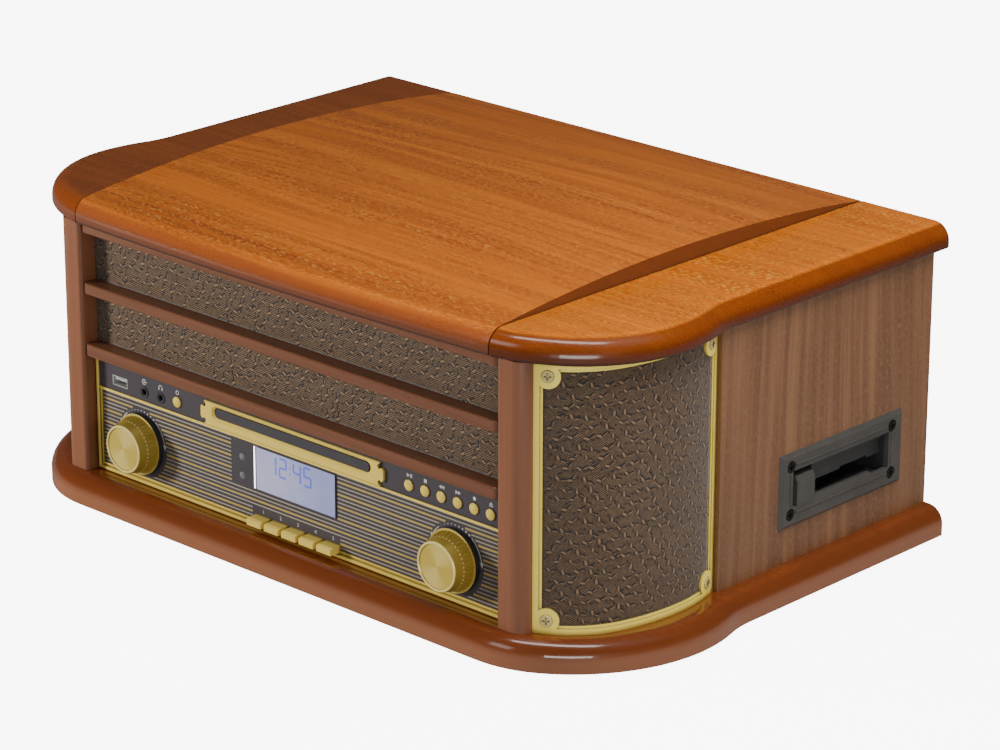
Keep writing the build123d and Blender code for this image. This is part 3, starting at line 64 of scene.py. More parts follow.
# --------------------------------------
# Node trees
# --------------------------------------
class Tree:
    """Short calls that add and join the nodes of one tree."""

    def __init__(self, tree: NodeTree) -> None:
        """Keep the tree.

        Args:
            tree: The node tree that the calls add to.
        """
        self.tree = tree

    def fill(self, socket: Socket, value: Any) -> None:
        """Link a socket to another socket or node, or give it a plain value.

        Args:
            socket: The input socket.
            value: A socket, a node (its first output is used), or a value.
        """
        if isinstance(value, Node):
            value = value.outputs[0]
        if isinstance(value, Socket):
            self.tree.links.new(value, socket)
        elif socket.type == "RGBA" and len(value) == 3:
            socket.default_value = (*value, 1.0)
        else:
            socket.default_value = value

    def add(self, kind: str, inputs: dict[Any, Any] | None = None, **settings: Any) -> Node:
        """Add a node.

        Args:
            kind: The node's type name.
            inputs: Values or links for its inputs, by name or number.
            **settings: Properties of the node.

        Returns:
            The new node.
        """
        node = self.tree.nodes.new(kind)
        for name, value in settings.items():
            setattr(node, name, value)
        for name, value in (inputs or {}).items():
            self.fill(node.inputs[name], value)
        return node

    def math(self, operation: str, *values: Any) -> Socket:
        """Add a Math node.

        Args:
            operation: Its operation.
            *values: Its inputs, in order.

        Returns:
            Its output socket.
        """
        return self.add("ShaderNodeMath", dict(enumerate(values)), operation=operation).outputs[0]

    def times(self, first: Any, second: Any) -> Socket:
        """Multiply two values."""
        return self.math("MULTIPLY", first, second)

    def less(self, first: Any, second: Any) -> Socket:
        """Give 1 where the first value is under the second."""
        return self.math("LESS_THAN", first, second)

    def mix(self, factor: Any, low: Any, high: Any) -> Socket:
        """Mix two colours.

        Args:
            factor: How much of the second colour shows.
            low: The first colour.
            high: The second colour.

        Returns:
            The mixed colour.
        """
        return self.add("ShaderNodeMix", {0: factor, 6: low, 7: high}, data_type="RGBA").outputs[2]

    def ramp(self, factor: Any, stops: Sequence[tuple[float, Colour]]) -> Socket:
        """Add a colour ramp.

        Args:
            factor: The value that runs along the ramp.
            stops: Places and colours.

        Returns:
            The ramp's colour.
        """
        node = self.add("ShaderNodeValToRGB", {0: factor})
        elements = node.color_ramp.elements
        while len(elements) < len(stops):
            elements.new(0.5)
        for element, (place, colour) in zip(elements, stops):
            element.position = place
            element.color = (*colour, 1.0)
        return node.outputs[0]

    def step(self, value: Any, low: float, high: float) -> Socket:
        """Rise smoothly from 0 to 1 between two values.

        Args:
            value: The value to test.
            low: Where the rise starts.
            high: Where it ends.

        Returns:
            A value from 0 to 1.
        """
        node = self.add("ShaderNodeMapRange", {0: value, 1: low, 2: high}, interpolation_type="SMOOTHSTEP")
        return node.outputs[0]

    def place(self, vector: Any, scale: Any = (1, 1, 1), shift: Any = (0, 0, 0),
              turn: Any = (0, 0, 0)) -> Socket:
        """Shift, turn and stretch a vector.

        Args:
            vector: The vector.
            scale: Its stretch on each axis.
            shift: What is added to it.
            turn: Its turn about each axis, in radians.

        Returns:
            The new vector.
        """
        inputs = {"Vector": vector, "Location": shift, "Rotation": turn, "Scale": scale}
        return self.add("ShaderNodeMapping", inputs).outputs[0]

    def noise(self, vector: Any, scale: float = 1.0, detail: float = 2.0, rough: float = 0.5) -> Socket:
        """Add a noise texture.

        Args:
            vector: Where it is read.
            scale: Its scale.
            detail: Its number of finer layers.
            rough: How strong the finer layers are.

        Returns:
            Its value, from 0 to 1.
        """
        inputs = {"Vector": vector, "Scale": scale, "Detail": detail, "Roughness": rough}
        return self.add("ShaderNodeTexNoise", inputs).outputs[0]

    def split(self, vector: Any) -> tuple[Socket, Socket, Socket]:
        """Give the three parts of a vector."""
        return tuple(self.add("ShaderNodeSeparateXYZ", {0: vector}).outputs)

    def join(self, x: Any, y: Any, z: Any) -> Socket:
        """Make a vector of three values."""
        return self.add("ShaderNodeCombineXYZ", {0: x, 1: y, 2: z}).outputs[0]

    def finish(self, out: Node, *values: Any) -> NodeTree:
        """Link the outputs of a group, in order.

        Args:
            out: The group's output node.
            *values: Its outputs.

        Returns:
            The group's tree.
        """
        for socket, value in zip(out.inputs, values):
            self.fill(socket, value)
        return self.tree

    def use(self, group: NodeTree, inputs: dict[str, Any]) -> Node:
        """Add a shader group.

        Args:
            group: The group's tree.
            inputs: Values or links for its inputs.

        Returns:
            The group node.
        """
        node = self.tree.nodes.new("ShaderNodeGroup")
        node.node_tree = group
        for name, value in inputs.items():
            self.fill(node.inputs[name], value)
        return node


Group = tuple[Tree, Node, Node]


def new_group(name: str, kind: str, inputs: Iterable[tuple], outputs: Iterable[tuple]) -> Group:
    """Start a node group.

    Args:
        name: The group's name.
        kind: The type of tree.
        inputs: Name, socket type and default of each input.
        outputs: Name and socket type of each output.

    Returns:
        The tree, its input node and its output node.
    """
    group = bpy.data.node_groups.new(name, kind)
    for label, socket_type, *default in inputs:
        socket = group.interface.new_socket(name=label, in_out="INPUT", socket_type=socket_type)
        if default:
            socket.default_value = default[0]
    for label, socket_type in outputs:
        group.interface.new_socket(name=label, in_out="OUTPUT", socket_type=socket_type)
    tree = Tree(group)
    return tree, tree.add("NodeGroupInput"), tree.add("NodeGroupOutput")


# --------------------------------------
# Effects that several finishes share
# --------------------------------------
# Scales of the noises in the wood figure, along and across the grain
FLOW_SCALE = (1.5, 7.0, 7.0)
RIPPLE_SCALE = (6, 40, 40)
PATCH_SCALE = (2.5, 18, 18)
STREAK_SCALE = (2.5, 110, 60)
FIBRE_SCALE = (9, 420, 420)
PORE_SCALE = (300, 2300, 2300)


@cache
def wood_figure() -> NodeTree:
    """Sliced veneer with its grain along X: growth lines that close into arches, streaks, fibres and pores.

    Returns:
        The shader group.
    """
    tree, given, out = new_group("wood_figure", "ShaderNodeTree", [
        ("Vector", VECTOR), ("Ring", FLOAT, 0.005), ("Bend", FLOAT, 0.16), ("Contrast", FLOAT, 0.5),
        ("Streak", FLOAT, 0.5), ("Light", COLOUR), ("Middle", COLOUR), ("Dark", COLOUR), ("Pore", COLOUR),
        ("Pore Share", FLOAT, 0.4),
    ], COLOUR_AND_HEIGHT)
    where = given.outputs
    x, y, z = tree.split(where["Vector"])
    flow = tree.noise(tree.place(where["Vector"], FLOW_SCALE), 1.0, 1.0, 0.4)
    ripple = tree.noise(tree.place(where["Vector"], RIPPLE_SCALE))
    field = tree.math("ADD", y, tree.times(z, 0.7))
    field = tree.math("MULTIPLY_ADD", flow, where["Bend"], field)
    field = tree.math("MULTIPLY_ADD", ripple, 0.0022, field)
    rings = tree.math("FRACT", tree.math("DIVIDE", field, where["Ring"]))
    late = tree.times(tree.step(rings, 0.1, 0.9), tree.math("SUBTRACT", 1.0, tree.step(rings, 0.9, 1.0)))
    patch = tree.noise(tree.place(where["Vector"], PATCH_SCALE))
    bent = tree.join(x, field, z)
    streak = tree.noise(tree.place(bent, STREAK_SCALE), 1.0, 3.0, 0.65)
    uneven = tree.times(tree.step(patch, 0.3, 0.65), tree.step(streak, 0.3, 0.6))
    late = tree.times(tree.times(late, uneven), where["Contrast"])
    fibre = tree.noise(tree.place(bent, FIBRE_SCALE), 1.0, 2.0, 0.6)
    tone = tree.math("ADD", tree.times(streak, where["Streak"]), tree.times(patch, 0.6))
    middle_at = tree.math("MULTIPLY_ADD", where["Streak"], 0.5, 0.3)
    shade = tree.step(tree.math("SUBTRACT", tone, middle_at), -0.16, 0.16)
    colour = tree.mix(shade, where["Light"], where["Middle"])
    colour = tree.mix(late, colour, where["Dark"])
    colour = tree.mix(tree.times(tree.step(fibre, 0.42, 0.68), 0.4), colour, where["Dark"])
    dash = tree.noise(tree.place(bent, PORE_SCALE), 1.0, 0.0)
    crowd = tree.math("MULTIPLY_ADD", tree.step(rings, 0.15, 0.5), 0.7, 0.3)
    pores = tree.times(tree.step(dash, 0.54, 0.66), tree.times(crowd, tree.step(patch, 0.2, 0.6)))
    colour = tree.mix(tree.times(pores, where["Pore Share"]), colour, where["Pore"])
    return tree.finish(out, colour, fibre)


@cache
def yarn_weave() -> NodeTree:
    """Fine twill of two yarns, with the cloth's X along and Y up in metres.

    Returns:
        The shader group.
    """
    tree, given, out = new_group("yarn_weave", "ShaderNodeTree", [
        ("Vector", VECTOR), ("Pitch", FLOAT, 0.0009), ("Ground", COLOUR), ("Bright", COLOUR),
        ("Shade", COLOUR),
    ], COLOUR_AND_HEIGHT)
    where = given.outputs
    x, y, _ = tree.split(where["Vector"])
    warp = tree.math("DIVIDE", x, where["Pitch"])
    weft = tree.math("DIVIDE", y, where["Pitch"])
    twill = tree.math("SINE", tree.times(tree.math("SUBTRACT", warp, tree.times(weft, 1.6)), math.pi))
    thread = tree.math("SINE", tree.times(tree.math("ADD", warp, weft), math.tau))
    height = tree.math("MULTIPLY_ADD", twill, 0.35, tree.math("MULTIPLY_ADD", thread, 0.15, 0.5))
    uneven = tree.noise(tree.place(where["Vector"], (420, 420, 420)), 1.0, 2.0, 0.7)
    cloud = tree.noise(tree.place(where["Vector"], (30, 90, 30)))
    level = tree.math("ADD", tree.times(height, 0.75), tree.math("MULTIPLY_ADD", uneven, 0.7, -0.35))
    colour = tree.mix(tree.step(level, 0.1, 0.62), where["Shade"], where["Ground"])
    colour = tree.mix(tree.step(level, 0.5, 0.95), colour, where["Bright"])
    colour = tree.mix(tree.times(tree.step(cloud, 0.35, 0.75), 0.25), colour, where["Shade"])
    return tree.finish(out, colour, level)


@cache
def handled_surface() -> NodeTree:
    """Uneven gloss of a handled surface: soft patches, fine smears and settled dust on upward faces.

    Returns:
        The shader group.
    """
    tree, given, out = new_group("handled_surface", "ShaderNodeTree", [
        ("Vector", VECTOR), ("Facing", VECTOR), ("Scale", FLOAT, 30.0), ("Smooth", FLOAT, 0.3),
        ("Dull", FLOAT, 0.4), ("Dust", FLOAT, 0.05),
    ], [("Roughness", FLOAT), ("Dust", FLOAT)])
    where = given.outputs
    patch = tree.noise(where["Vector"], where["Scale"], 4.0, 0.6)
    spread = tree.add("ShaderNodeMapRange", {0: patch, 1: 0.3, 2: 0.7, 3: where["Smooth"], 4: where["Dull"]})
    _, _, up = tree.split(where["Facing"])
    grit = tree.step(tree.noise(where["Vector"], 900.0, 2.0, 0.7), 0.5, 0.8)
    dust = tree.times(tree.times(tree.step(up, 0.5, 1.0), grit), where["Dust"])
    return tree.finish(out, tree.math("ADD", spread.outputs[0], dust), dust)


@cache
def rubbed_edge() -> NodeTree:
    """Mask of the edges where a finish wears first, broken up by noise.

    Returns:
        The shader group.
    """
    tree, given, out = new_group("rubbed_edge", "ShaderNodeTree", [
        ("Vector", VECTOR), ("Radius", FLOAT, 0.0006), ("Wear", FLOAT, 0.5),
    ], [("Mask", FLOAT)])
    where = given.outputs
    soft = tree.add("ShaderNodeBevel", {"Radius": where["Radius"]}, samples=4)
    plain = tree.add("ShaderNodeNewGeometry")
    dot = tree.add("ShaderNodeVectorMath", {0: soft.outputs[0], 1: plain.outputs["Normal"]},
                   operation="DOT_PRODUCT")
    edge = tree.math("SUBTRACT", 1.0, tree.step(dot.outputs["Value"], 0.80, 0.985))
    broken = tree.times(edge, tree.step(tree.noise(where["Vector"], 260.0, 3.0, 0.7), 0.25, 0.6))
    return tree.finish(out, tree.times(broken, where["Wear"]))


@cache
def moulded_grain() -> NodeTree:
    """Fine spark-eroded grain of moulded plastic and rubber.

    Returns:
        The shader group.
    """
    tree, given, out = new_group("moulded_grain", "ShaderNodeTree", [
        ("Vector", VECTOR), ("Scale", FLOAT, 2200.0), ("Base", COLOUR), ("Fleck", COLOUR),
    ], COLOUR_AND_HEIGHT)
    where = given.outputs
    grain = tree.noise(where["Vector"], where["Scale"], 2.0, 0.6)
    cloud = tree.noise(where["Vector"], 45.0, 3.0)
    colour = tree.mix(tree.times(tree.step(grain, 0.45, 0.75), 0.6), where["Base"], where["Fleck"])
    colour = tree.mix(tree.times(tree.step(cloud, 0.4, 0.8), 0.3), colour, where["Fleck"])
    return tree.finish(out, colour, grain)


@cache
def brushed_lines() -> NodeTree:
    """Long fine scratches along X, for brushed and drawn metal.

    Returns:
        The shader group.
    """
    tree, given, out = new_group("brushed_lines", "ShaderNodeTree", [
        ("Vector", VECTOR), ("Base", COLOUR), ("Deep", COLOUR),
    ], COLOUR_AND_HEIGHT)
    where = given.outputs
    lines = tree.noise(tree.place(where["Vector"], (25, 2600, 2600)), 1.0, 3.0, 0.7)
    stain = tree.noise(where["Vector"], 60.0, 3.0)
    colour = tree.mix(tree.times(tree.step(lines, 0.4, 0.7), 0.5), where["Base"], where["Deep"])
    colour = tree.mix(tree.times(tree.step(stain, 0.45, 0.8), 0.35), colour, where["Deep"])
    return tree.finish(out, colour, lines)


# --------------------------------------
# Finishes
# --------------------------------------
class Grain(Enum):
    """Turn, in radians about each axis, that lays the grain of a wood along an axis."""

    ALONG_X = (0.0, 0.0, 0.0)
    UPRIGHT = (0.0, math.pi / 2, 0.0)


# Colours of settled dust on wood and on plastic
WARM_DUST = (0.4, 0.33, 0.27)
GREY_DUST = (0.35, 0.33, 0.30)


@dataclass(frozen=True)
class Surface:
    """What a finish paints: a material's tree and shader, the place on the piece and its normal."""

    tree: Tree
    shader: Node
    place: Socket
    facing: Socket

    def set(self, name: str, value: Any) -> None:
        """Fill one of the shader's sockets with a link, or with one value for the whole surface."""
        self.tree.fill(self.shader.inputs[name], value)

    def gloss(self, smooth: float, dull: float, dust: float = 0.03) -> Socket:
        """Vary the roughness as handling does.

        Args:
            smooth: The lowest roughness.
            dull: The highest roughness.
            dust: How much dust lies on upward faces.

        Returns:
            The dust mask.
        """
        handled = self.tree.use(handled_surface(), {"Vector": self.place, "Facing": self.facing,
                                                    "Smooth": smooth, "Dull": dull, "Dust": dust})
        self.set("Roughness", handled.outputs["Roughness"])
        return handled.outputs["Dust"]

    def relief(self, height: Socket, depth: float, strength: float) -> None:
        """Raise the surface by a height.

        Args:
            height: The height, from 0 to 1.
            depth: What a height of 1 stands for, in metres.
            strength: How strongly it shows.
        """
        inputs = {"Height": height, "Distance": depth, "Strength": strength}
        self.set("Normal", self.tree.add("ShaderNodeBump", inputs))

    def worn(self, radius: float, wear: float) -> Socket:
        """Find the edges where the finish is rubbed off.

        Args:
            radius: How far from the edge the wear reaches.
            wear: How strong it is.

        Returns:
            The mask of the worn edges.
        """
        inputs = {"Vector": self.place, "Radius": radius, "Wear": wear}
        return self.tree.use(rubbed_edge(), inputs).outputs["Mask"]


@dataclass(frozen=True)
class Finish:
    """A named finish that makes its material when it is first used."""

    name: str

    def material(self) -> Material:
        """Give the finish's material, and make it the first time.

        Returns:
            The material.
        """
        known = bpy.data.materials.get(self.name)
        if known:
            return known
        material = bpy.data.materials.new(self.name)
        material.use_nodes = True
        tree = Tree(material.node_tree)
        shader = material.node_tree.nodes["Principled BSDF"]
        coords = tree.add("ShaderNodeTexCoord").outputs
        self.paint(Surface(tree, shader, coords["Object"], coords["Normal"]))
        return material

    def paint(self, on: Surface) -> None:
        """Fill the shader's sockets.

        Args:
            on: The surface to paint.
        """
        raise NotImplementedError


@dataclass(frozen=True)
class Veneer(Finish):
    """Lacquered veneer. Where the board turns away from its face it takes a plainer edge colour, partly the
    edge's own tone and partly painted shade; upright and downward faces take the low colour, which is painted
    shade on the lid and wings and a painted reflection of the bright floor on the plinth.
    """

    light: Colour = (0.30, 0.085, 0.012)
    middle: Colour = (0.22, 0.052, 0.009)
    dark: Colour = (0.12, 0.024, 0.005)
    pore: Colour = (0.36, 0.16, 0.045)
    # Edge colour: partly the edge's own tone, partly painted shade
    edge: Colour = (0.20, 0.035, 0.005)
    # Low colour of upright and downward faces, painted light or shade that stands in for how light falls on
    # them
    low: Colour | None = None
    turn_away: Pair = (0.86, 0.975)
    grain: Grain = Grain.ALONG_X
    shift: Point = (0.0, 0.0, 0.0)
    ring: float = 0.005
    bend: float = 0.16
    contrast: float = 0.5
    streak: float = 0.5
    pore_share: float = 0.35
    smooth: float = 0.24
    dull: float = 0.34
    coat: float = 0.25
    coat_rough: float = 0.1
    face_up: bool = True
    edge_figure: float = 0.2
    low_turn: Pair = (-0.35, 0.55)
    wear_radius: float = 0.0008
    wear: float = 0.12
    dust: float = 0.015
    dust_share: float = 0.5
    depth: float = 0.00002
    relief: float = 0.05

    def paint(self, on: Surface) -> None:
        """Fill the shader's sockets.

        Args:
            on: The surface to paint.
        """
        tree, place = on.tree, on.place
        along = tree.place(place, shift=self.shift, turn=self.grain.value)
        figure = tree.use(wood_figure(), {
            "Vector": along, "Ring": self.ring, "Bend": self.bend, "Contrast": self.contrast,
            "Streak": self.streak, "Light": self.light, "Middle": self.middle, "Dark": self.dark,
            "Pore": self.pore, "Pore Share": self.pore_share})
        colour = figure.outputs["Color"]
        if self.face_up:
            _, _, up = tree.split(on.facing)
            # Painted shade on edges and on upright and downward faces, and a painted floor reflection where
            # the low colour is lighter
            side = tree.mix(self.edge_figure, self.edge, colour)
            if self.low:
                side = tree.mix(tree.step(up, *self.low_turn), self.low, side)
            colour = tree.mix(tree.step(up, *self.turn_away), side, colour)
        colour = tree.mix(on.worn(self.wear_radius, self.wear), colour, self.light)
        dust = on.gloss(self.smooth, self.dull, self.dust)
        on.set("Base Color", tree.mix(tree.times(dust, self.dust_share), colour, WARM_DUST))
        on.relief(figure.outputs["Height"], self.depth, self.relief)
        on.set("Coat Weight", self.coat)
        on.set("Coat Roughness", self.coat_rough)


@dataclass(frozen=True)
class Moulding(Finish):
    """Moulded plastic, rubber or stove paint with a fine grain."""

    base: Colour = (0.02, 0.02, 0.02)
    fleck: Colour = (0.045, 0.043, 0.041)
    smooth: float = 0.38
    dull: float = 0.5
    grain: float = 2200.0
    depth: float = 0.00004
    wear: float = 0.3
    worn: Colour = (0.11, 0.11, 0.11)
    spots: tuple[Pair, ...] = ()
    spot_radius: float = 2.2 * MM
    spot: Colour = (0.13, 0.12, 0.13)
    wear_radius: float = 0.0004
    dust: float = 0.06
    relief: float = 0.3

    def paint(self, on: Surface) -> None:
        """Fill the shader's sockets.

        Args:
            on: The surface to paint.
        """
        tree, place = on.tree, on.place
        grain = tree.use(moulded_grain(), {"Vector": place, "Scale": self.grain, "Base": self.base,
                                           "Fleck": self.fleck})
        dust = on.gloss(self.smooth, self.dull, self.dust)
        colour = tree.mix(on.worn(self.wear_radius, self.wear), grain.outputs["Color"], self.worn)
        for x, z in self.spots:
            away = tree.add("ShaderNodeVectorMath", {0: tree.place(place, (1, 0, 1)), 1: (x, 0.0, z)},
                            operation="DISTANCE").outputs["Value"]
            colour = tree.mix(tree.less(away, self.spot_radius), colour, self.spot)
        on.set("Base Color", tree.mix(dust, colour, GREY_DUST))
        on.relief(grain.outputs["Height"], self.depth, self.relief)


@dataclass(frozen=True)
class Metal(Finish):
    """Plated, drawn or brushed metal, with painted shade where asked: a darker colour on what lies behind a
    set depth, and in the crevices that ambient occlusion finds.
    """

    base: Colour = (0.8, 0.62, 0.22)
    deep: Colour = (0.42, 0.30, 0.08)
    smooth: float = 0.28
    dull: float = 0.4
    grain: Grain = Grain.ALONG_X
    metallic: float = 1.0
    wear: float = 0.4
    depth: float = 0.00002
    # Painted shade: the colour below darkens what lies behind a set depth in Y, and the crevices that ambient
    # occlusion finds
    recess_from: float | None = None
    recess: Colour = (0.075, 0.055, 0.012)
    recess_share: float = 0.85
    recess_blur: float = 0.1 * MM
    crevice: float = 0.0
    wear_radius: float = 0.0004
    worn_gain: float = 1.25
    relief: float = 0.3

    def paint(self, on: Surface) -> None:
        """Fill the shader's sockets.

        Args:
            on: The surface to paint.
        """
        tree, place = on.tree, on.place
        lines = tree.use(brushed_lines(), {"Vector": tree.place(place, turn=self.grain.value),
                                           "Base": self.base, "Deep": self.deep})
        bright = tuple(min(1.0, self.worn_gain * part) for part in self.base)
        colour = tree.mix(on.worn(self.wear_radius, self.wear), lines.outputs["Color"], bright)
        # Painted shade on what lies behind the set depth in Y
        if self.recess_from is not None:
            _, back, _ = tree.split(place)
            deep = tree.step(back, self.recess_from - self.recess_blur, self.recess_from + self.recess_blur)
            colour = tree.mix(tree.times(deep, self.recess_share), colour, self.recess)
        # Painted shade in crevices and recesses, found by ambient occlusion
        if self.crevice:
            occlusion_shade = tree.add("ShaderNodeAmbientOcclusion", {"Distance": self.crevice}, samples=6)
            clear = tree.step(occlusion_shade.outputs["AO"], 0.5, 0.9)
            colour = tree.mix(clear, self.recess, colour)
        on.set("Base Color", colour)
        on.gloss(self.smooth, self.dull)
        on.relief(lines.outputs["Height"], self.depth, self.relief)
        on.set("Metallic", self.metallic)


@dataclass(frozen=True)
class SpunKnob(Finish):
    """Gilt knob with turning marks, painted highlights (a sweep over the face, a ring at the rim and a glint
    at each flute), painted shade on its sides, and a black skirt behind it.
    """

    centre: Pair = (0.0, 0.0)
    front: float = 0.0
    length: float = 12.6 * MM
    rim: float = 13.9 * MM
    flutes: int = 40
    marks: float = 3000.0
    # Place, size and share of the painted glint at each flute, and width and depth of the painted highlight
    # at the rim
    dots_at: float = 0.49
    dot_half: float = 0.4 * MM
    dot_share: float = 0.2
    lip_width: float = 0.3 * MM
    lip_depth: float = 0.5 * MM
    metallic: float = 0.5
    smooth: float = 0.32
    dull: float = 0.42
    depth: float = 0.00002
    relief: float = 0.35
    base: Colour = (0.62, 0.45, 0.08)
    deep: Colour = (0.44, 0.31, 0.05)
    # Painted shade on the sides that turn away from the front
    side: Colour = (0.20, 0.135, 0.018)
    # Colour of the painted highlights: the sweep, the rim and the flute glints
    bright: Colour = (0.95, 0.78, 0.30)
    skirt: Colour = (0.012, 0.012, 0.012)

    def paint(self, on: Surface) -> None:
        """Fill the shader's sockets.

        Args:
            on: The surface to paint.
        """
        tree, place = on.tree, on.place
        x, y, z = tree.split(place)
        across = tree.math("SUBTRACT", x, self.centre[0])
        up = tree.math("SUBTRACT", z, self.centre[1])
        squares = tree.math("ADD", tree.math("POWER", across, 2.0), tree.math("POWER", up, 2.0))
        radius = tree.math("SQRT", squares)
        turned = tree.join(tree.times(radius, self.marks), tree.times(y, self.marks), 0.5)
        turned = tree.noise(turned, 1.0, 1.0)
        angle = tree.math("ARCTAN2", up, across)
        # Painted highlight that sweeps round the face
        highlight_sweep = tree.math("COSINE", tree.math("MULTIPLY_ADD", angle, 2.0, -2.4))
        _, ahead, _ = tree.split(on.facing)
        face = tree.step(tree.times(ahead, -1.0), 0.9, 0.99)
        glow = tree.times(tree.step(highlight_sweep, -0.9, 1.0), face)
        colour = tree.mix(tree.times(turned, 0.5), self.base, self.deep)
        # Painted shade on the sides, then the painted highlight on the face
        colour = tree.mix(tree.times(tree.math("SUBTRACT", 1.0, face), 0.75), colour, self.side)
        colour = tree.mix(tree.times(glow, 0.35), colour, self.bright)
        # Painted highlight round the rim
        rim_highlight = tree.step(radius, self.rim - self.lip_width, self.rim)
        rim_highlight = tree.times(rim_highlight, tree.less(y, self.front + self.lip_depth))
        # Painted glint at the front end of each flute
        turn = tree.math("FRACT", tree.math("MULTIPLY_ADD", angle, self.flutes / math.tau, 0.5))
        near = tree.less(tree.math("ABSOLUTE", tree.math("SUBTRACT", turn, 0.5)), self.dot_share)
        glint_band = tree.math("ABSOLUTE", tree.math("SUBTRACT", y, self.front + self.length * self.dots_at))
        glint_band = tree.less(glint_band, self.dot_half)
        dot = tree.times(near, glint_band)
        colour = tree.mix(tree.times(tree.math("MAXIMUM", rim_highlight, dot), 0.8), colour, self.bright)
        behind = tree.math("GREATER_THAN", y, self.front + self.length + 0.05 * MM)
        on.set("Base Color", tree.mix(behind, colour, self.skirt))
        on.set("Metallic", tree.math("MULTIPLY_ADD", behind, -self.metallic, self.metallic))
        on.gloss(self.smooth, self.dull)
        on.relief(turned, self.depth, self.relief)


@dataclass(frozen=True)
class SocketSet(Finish):
    """Bright USB shell, and black jacks and rear connectors, told apart by their place."""

    shell_ends: float = -0.143
    rear_from: float = 0.0
    bright: Colour = (0.72, 0.71, 0.67)
    rubbed_bright: Colour = (0.5, 0.5, 0.48)
    black: Colour = (0.02, 0.02, 0.02)
    rubbed_black: Colour = (0.05, 0.05, 0.05)
    metallic: float = 0.7
    smooth: float = 0.25
    dull: float = 0.4
    depth: float = 0.00002
    relief: float = 0.2

    def paint(self, on: Surface) -> None:
        """Fill the shader's sockets.

        Args:
            on: The surface to paint.
        """
        tree, place = on.tree, on.place
        x, y, _ = tree.split(place)
        shell = tree.times(tree.less(x, self.shell_ends), tree.less(y, self.rear_from))
        worn = tree.noise(place, 700.0, 3.0, 0.6)
        rubbed = tree.step(worn, 0.4, 0.8)
        black = tree.mix(rubbed, self.black, self.rubbed_black)
        bright = tree.mix(rubbed, self.bright, self.rubbed_bright)
        on.set("Base Color", tree.mix(shell, black, bright))
        on.set("Metallic", tree.times(shell, self.metallic))
        on.gloss(self.smooth, self.dull)
        on.relief(worn, self.depth, self.relief)


@dataclass(frozen=True)
class Weave(Finish):
    """Woven cloth, read from the piece's own UV map in metres."""

    ground: Colour = (0.110, 0.066, 0.034)
    bright: Colour = (0.215, 0.134, 0.069)
    shade: Colour = (0.026, 0.016, 0.009)
    pitch: float = 0.0011
    rough: float = 0.85
    sheen: float = 0.15
    sheen_rough: float = 0.5
    depth: float = 0.0003
    relief: float = 0.6

    def paint(self, on: Surface) -> None:
        """Fill the shader's sockets.

        Args:
            on: The surface to paint.
        """
        tree = on.tree
        spread = tree.add("ShaderNodeUVMap", uv_map="cloth")
        weave = tree.use(yarn_weave(), {"Vector": spread.outputs[0], "Pitch": self.pitch,
                                        "Ground": self.ground, "Bright": self.bright, "Shade": self.shade})
        on.set("Base Color", weave.outputs["Color"])
        on.relief(weave.outputs["Height"], self.depth, self.relief)
        on.set("Roughness", self.rough)
        on.set("Sheen Weight", self.sheen)
        on.set("Sheen Roughness", self.sheen_rough)


@dataclass(frozen=True)
class Yarn(Finish):
    """Raised yarn flecks, each with its own tone from the attribute named tone."""

    copper: Colour = (0.21, 0.118, 0.058)
    brown: Colour = (0.18, 0.11, 0.065)
    black: Colour = (0.012, 0.008, 0.006)
    rough: float = 0.7
    sheen: float = 0.2
    depth: float = 0.0002
    relief: float = 0.5

    def paint(self, on: Surface) -> None:
        """Fill the shader's sockets.

        Args:
            on: The surface to paint.
        """
        tree, place = on.tree, on.place
        tone = tree.add("ShaderNodeAttribute", attribute_name="tone").outputs["Fac"]
        colour = tree.ramp(tone, [(0.0, self.black), (0.35, self.brown), (1.0, self.copper)])
        twist = tree.noise(place, 1500.0, 2.0, 0.6)
        on.set("Base Color", tree.mix(tree.times(twist, 0.3), colour, self.black))
        on.relief(twist, self.depth, self.relief)
        on.set("Roughness", self.rough)
        on.set("Sheen Weight", self.sheen)


@dataclass(frozen=True)
class Lit(Finish):
    """Surface that gives out light behind a clear cover, with a soft unevenness."""

    near: Colour = (0.18, 0.19, 0.34)
    far: Colour = (0.26, 0.265, 0.36)
    glow: float = 0.45
    centre_x: float = 0.0
    half: float = 0.034
    rough: float = 0.2

    def paint(self, on: Surface) -> None:
        """Fill the shader's sockets.

        Args:
            on: The surface to paint.
        """
        tree, place = on.tree, on.place
        x, _, _ = tree.split(place)
        away = tree.math("DIVIDE", tree.math("SUBTRACT", x, self.centre_x), self.half)
        patch = tree.math("MULTIPLY_ADD", tree.noise(place, 60.0, 2.0), 0.5, tree.times(away, -0.25))
        colour = tree.mix(tree.step(patch, 0.0, 0.5), self.near, self.far)
        on.set("Base Color", colour)
        on.set("Emission Color", colour)
        on.set("Emission Strength", self.glow)
        on.set("Roughness", self.rough)


# The lid's edge colour and dark low colour paint shade on its rounded front edge and the faces below it
TOP_VENEER = Veneer("top_veneer_lacquer", light=(0.40, 0.100, 0.006), middle=(0.29, 0.066, 0.005),
                    dark=(0.17, 0.032, 0.004), pore=(0.56, 0.23, 0.04), edge=(0.19, 0.041, 0.009),
                    low=(0.050, 0.018, 0.010), turn_away=(0.55, 0.98), ring=0.0055, bend=0.13, contrast=0.85,
                    streak=0.9, pore_share=0.5)
# The right wing's dark edge and low colours are partly the moulding's own deeper tone and partly painted
# shade
WING_RIGHT_VENEER = Veneer("wing_veneer_right", light=(0.42, 0.104, 0.005), middle=(0.34, 0.074, 0.004),
                           dark=(0.20, 0.041, 0.003), pore=(0.68, 0.31, 0.03), edge=(0.084, 0.0117, 0.0011),
                           low=(0.045, 0.006, 0.001), shift=(0.37, 0.21, 0.0), bend=0.12, pore_share=0.55,
                           contrast=0.8, ring=0.011, smooth=0.16, dull=0.24, coat_rough=0.05)
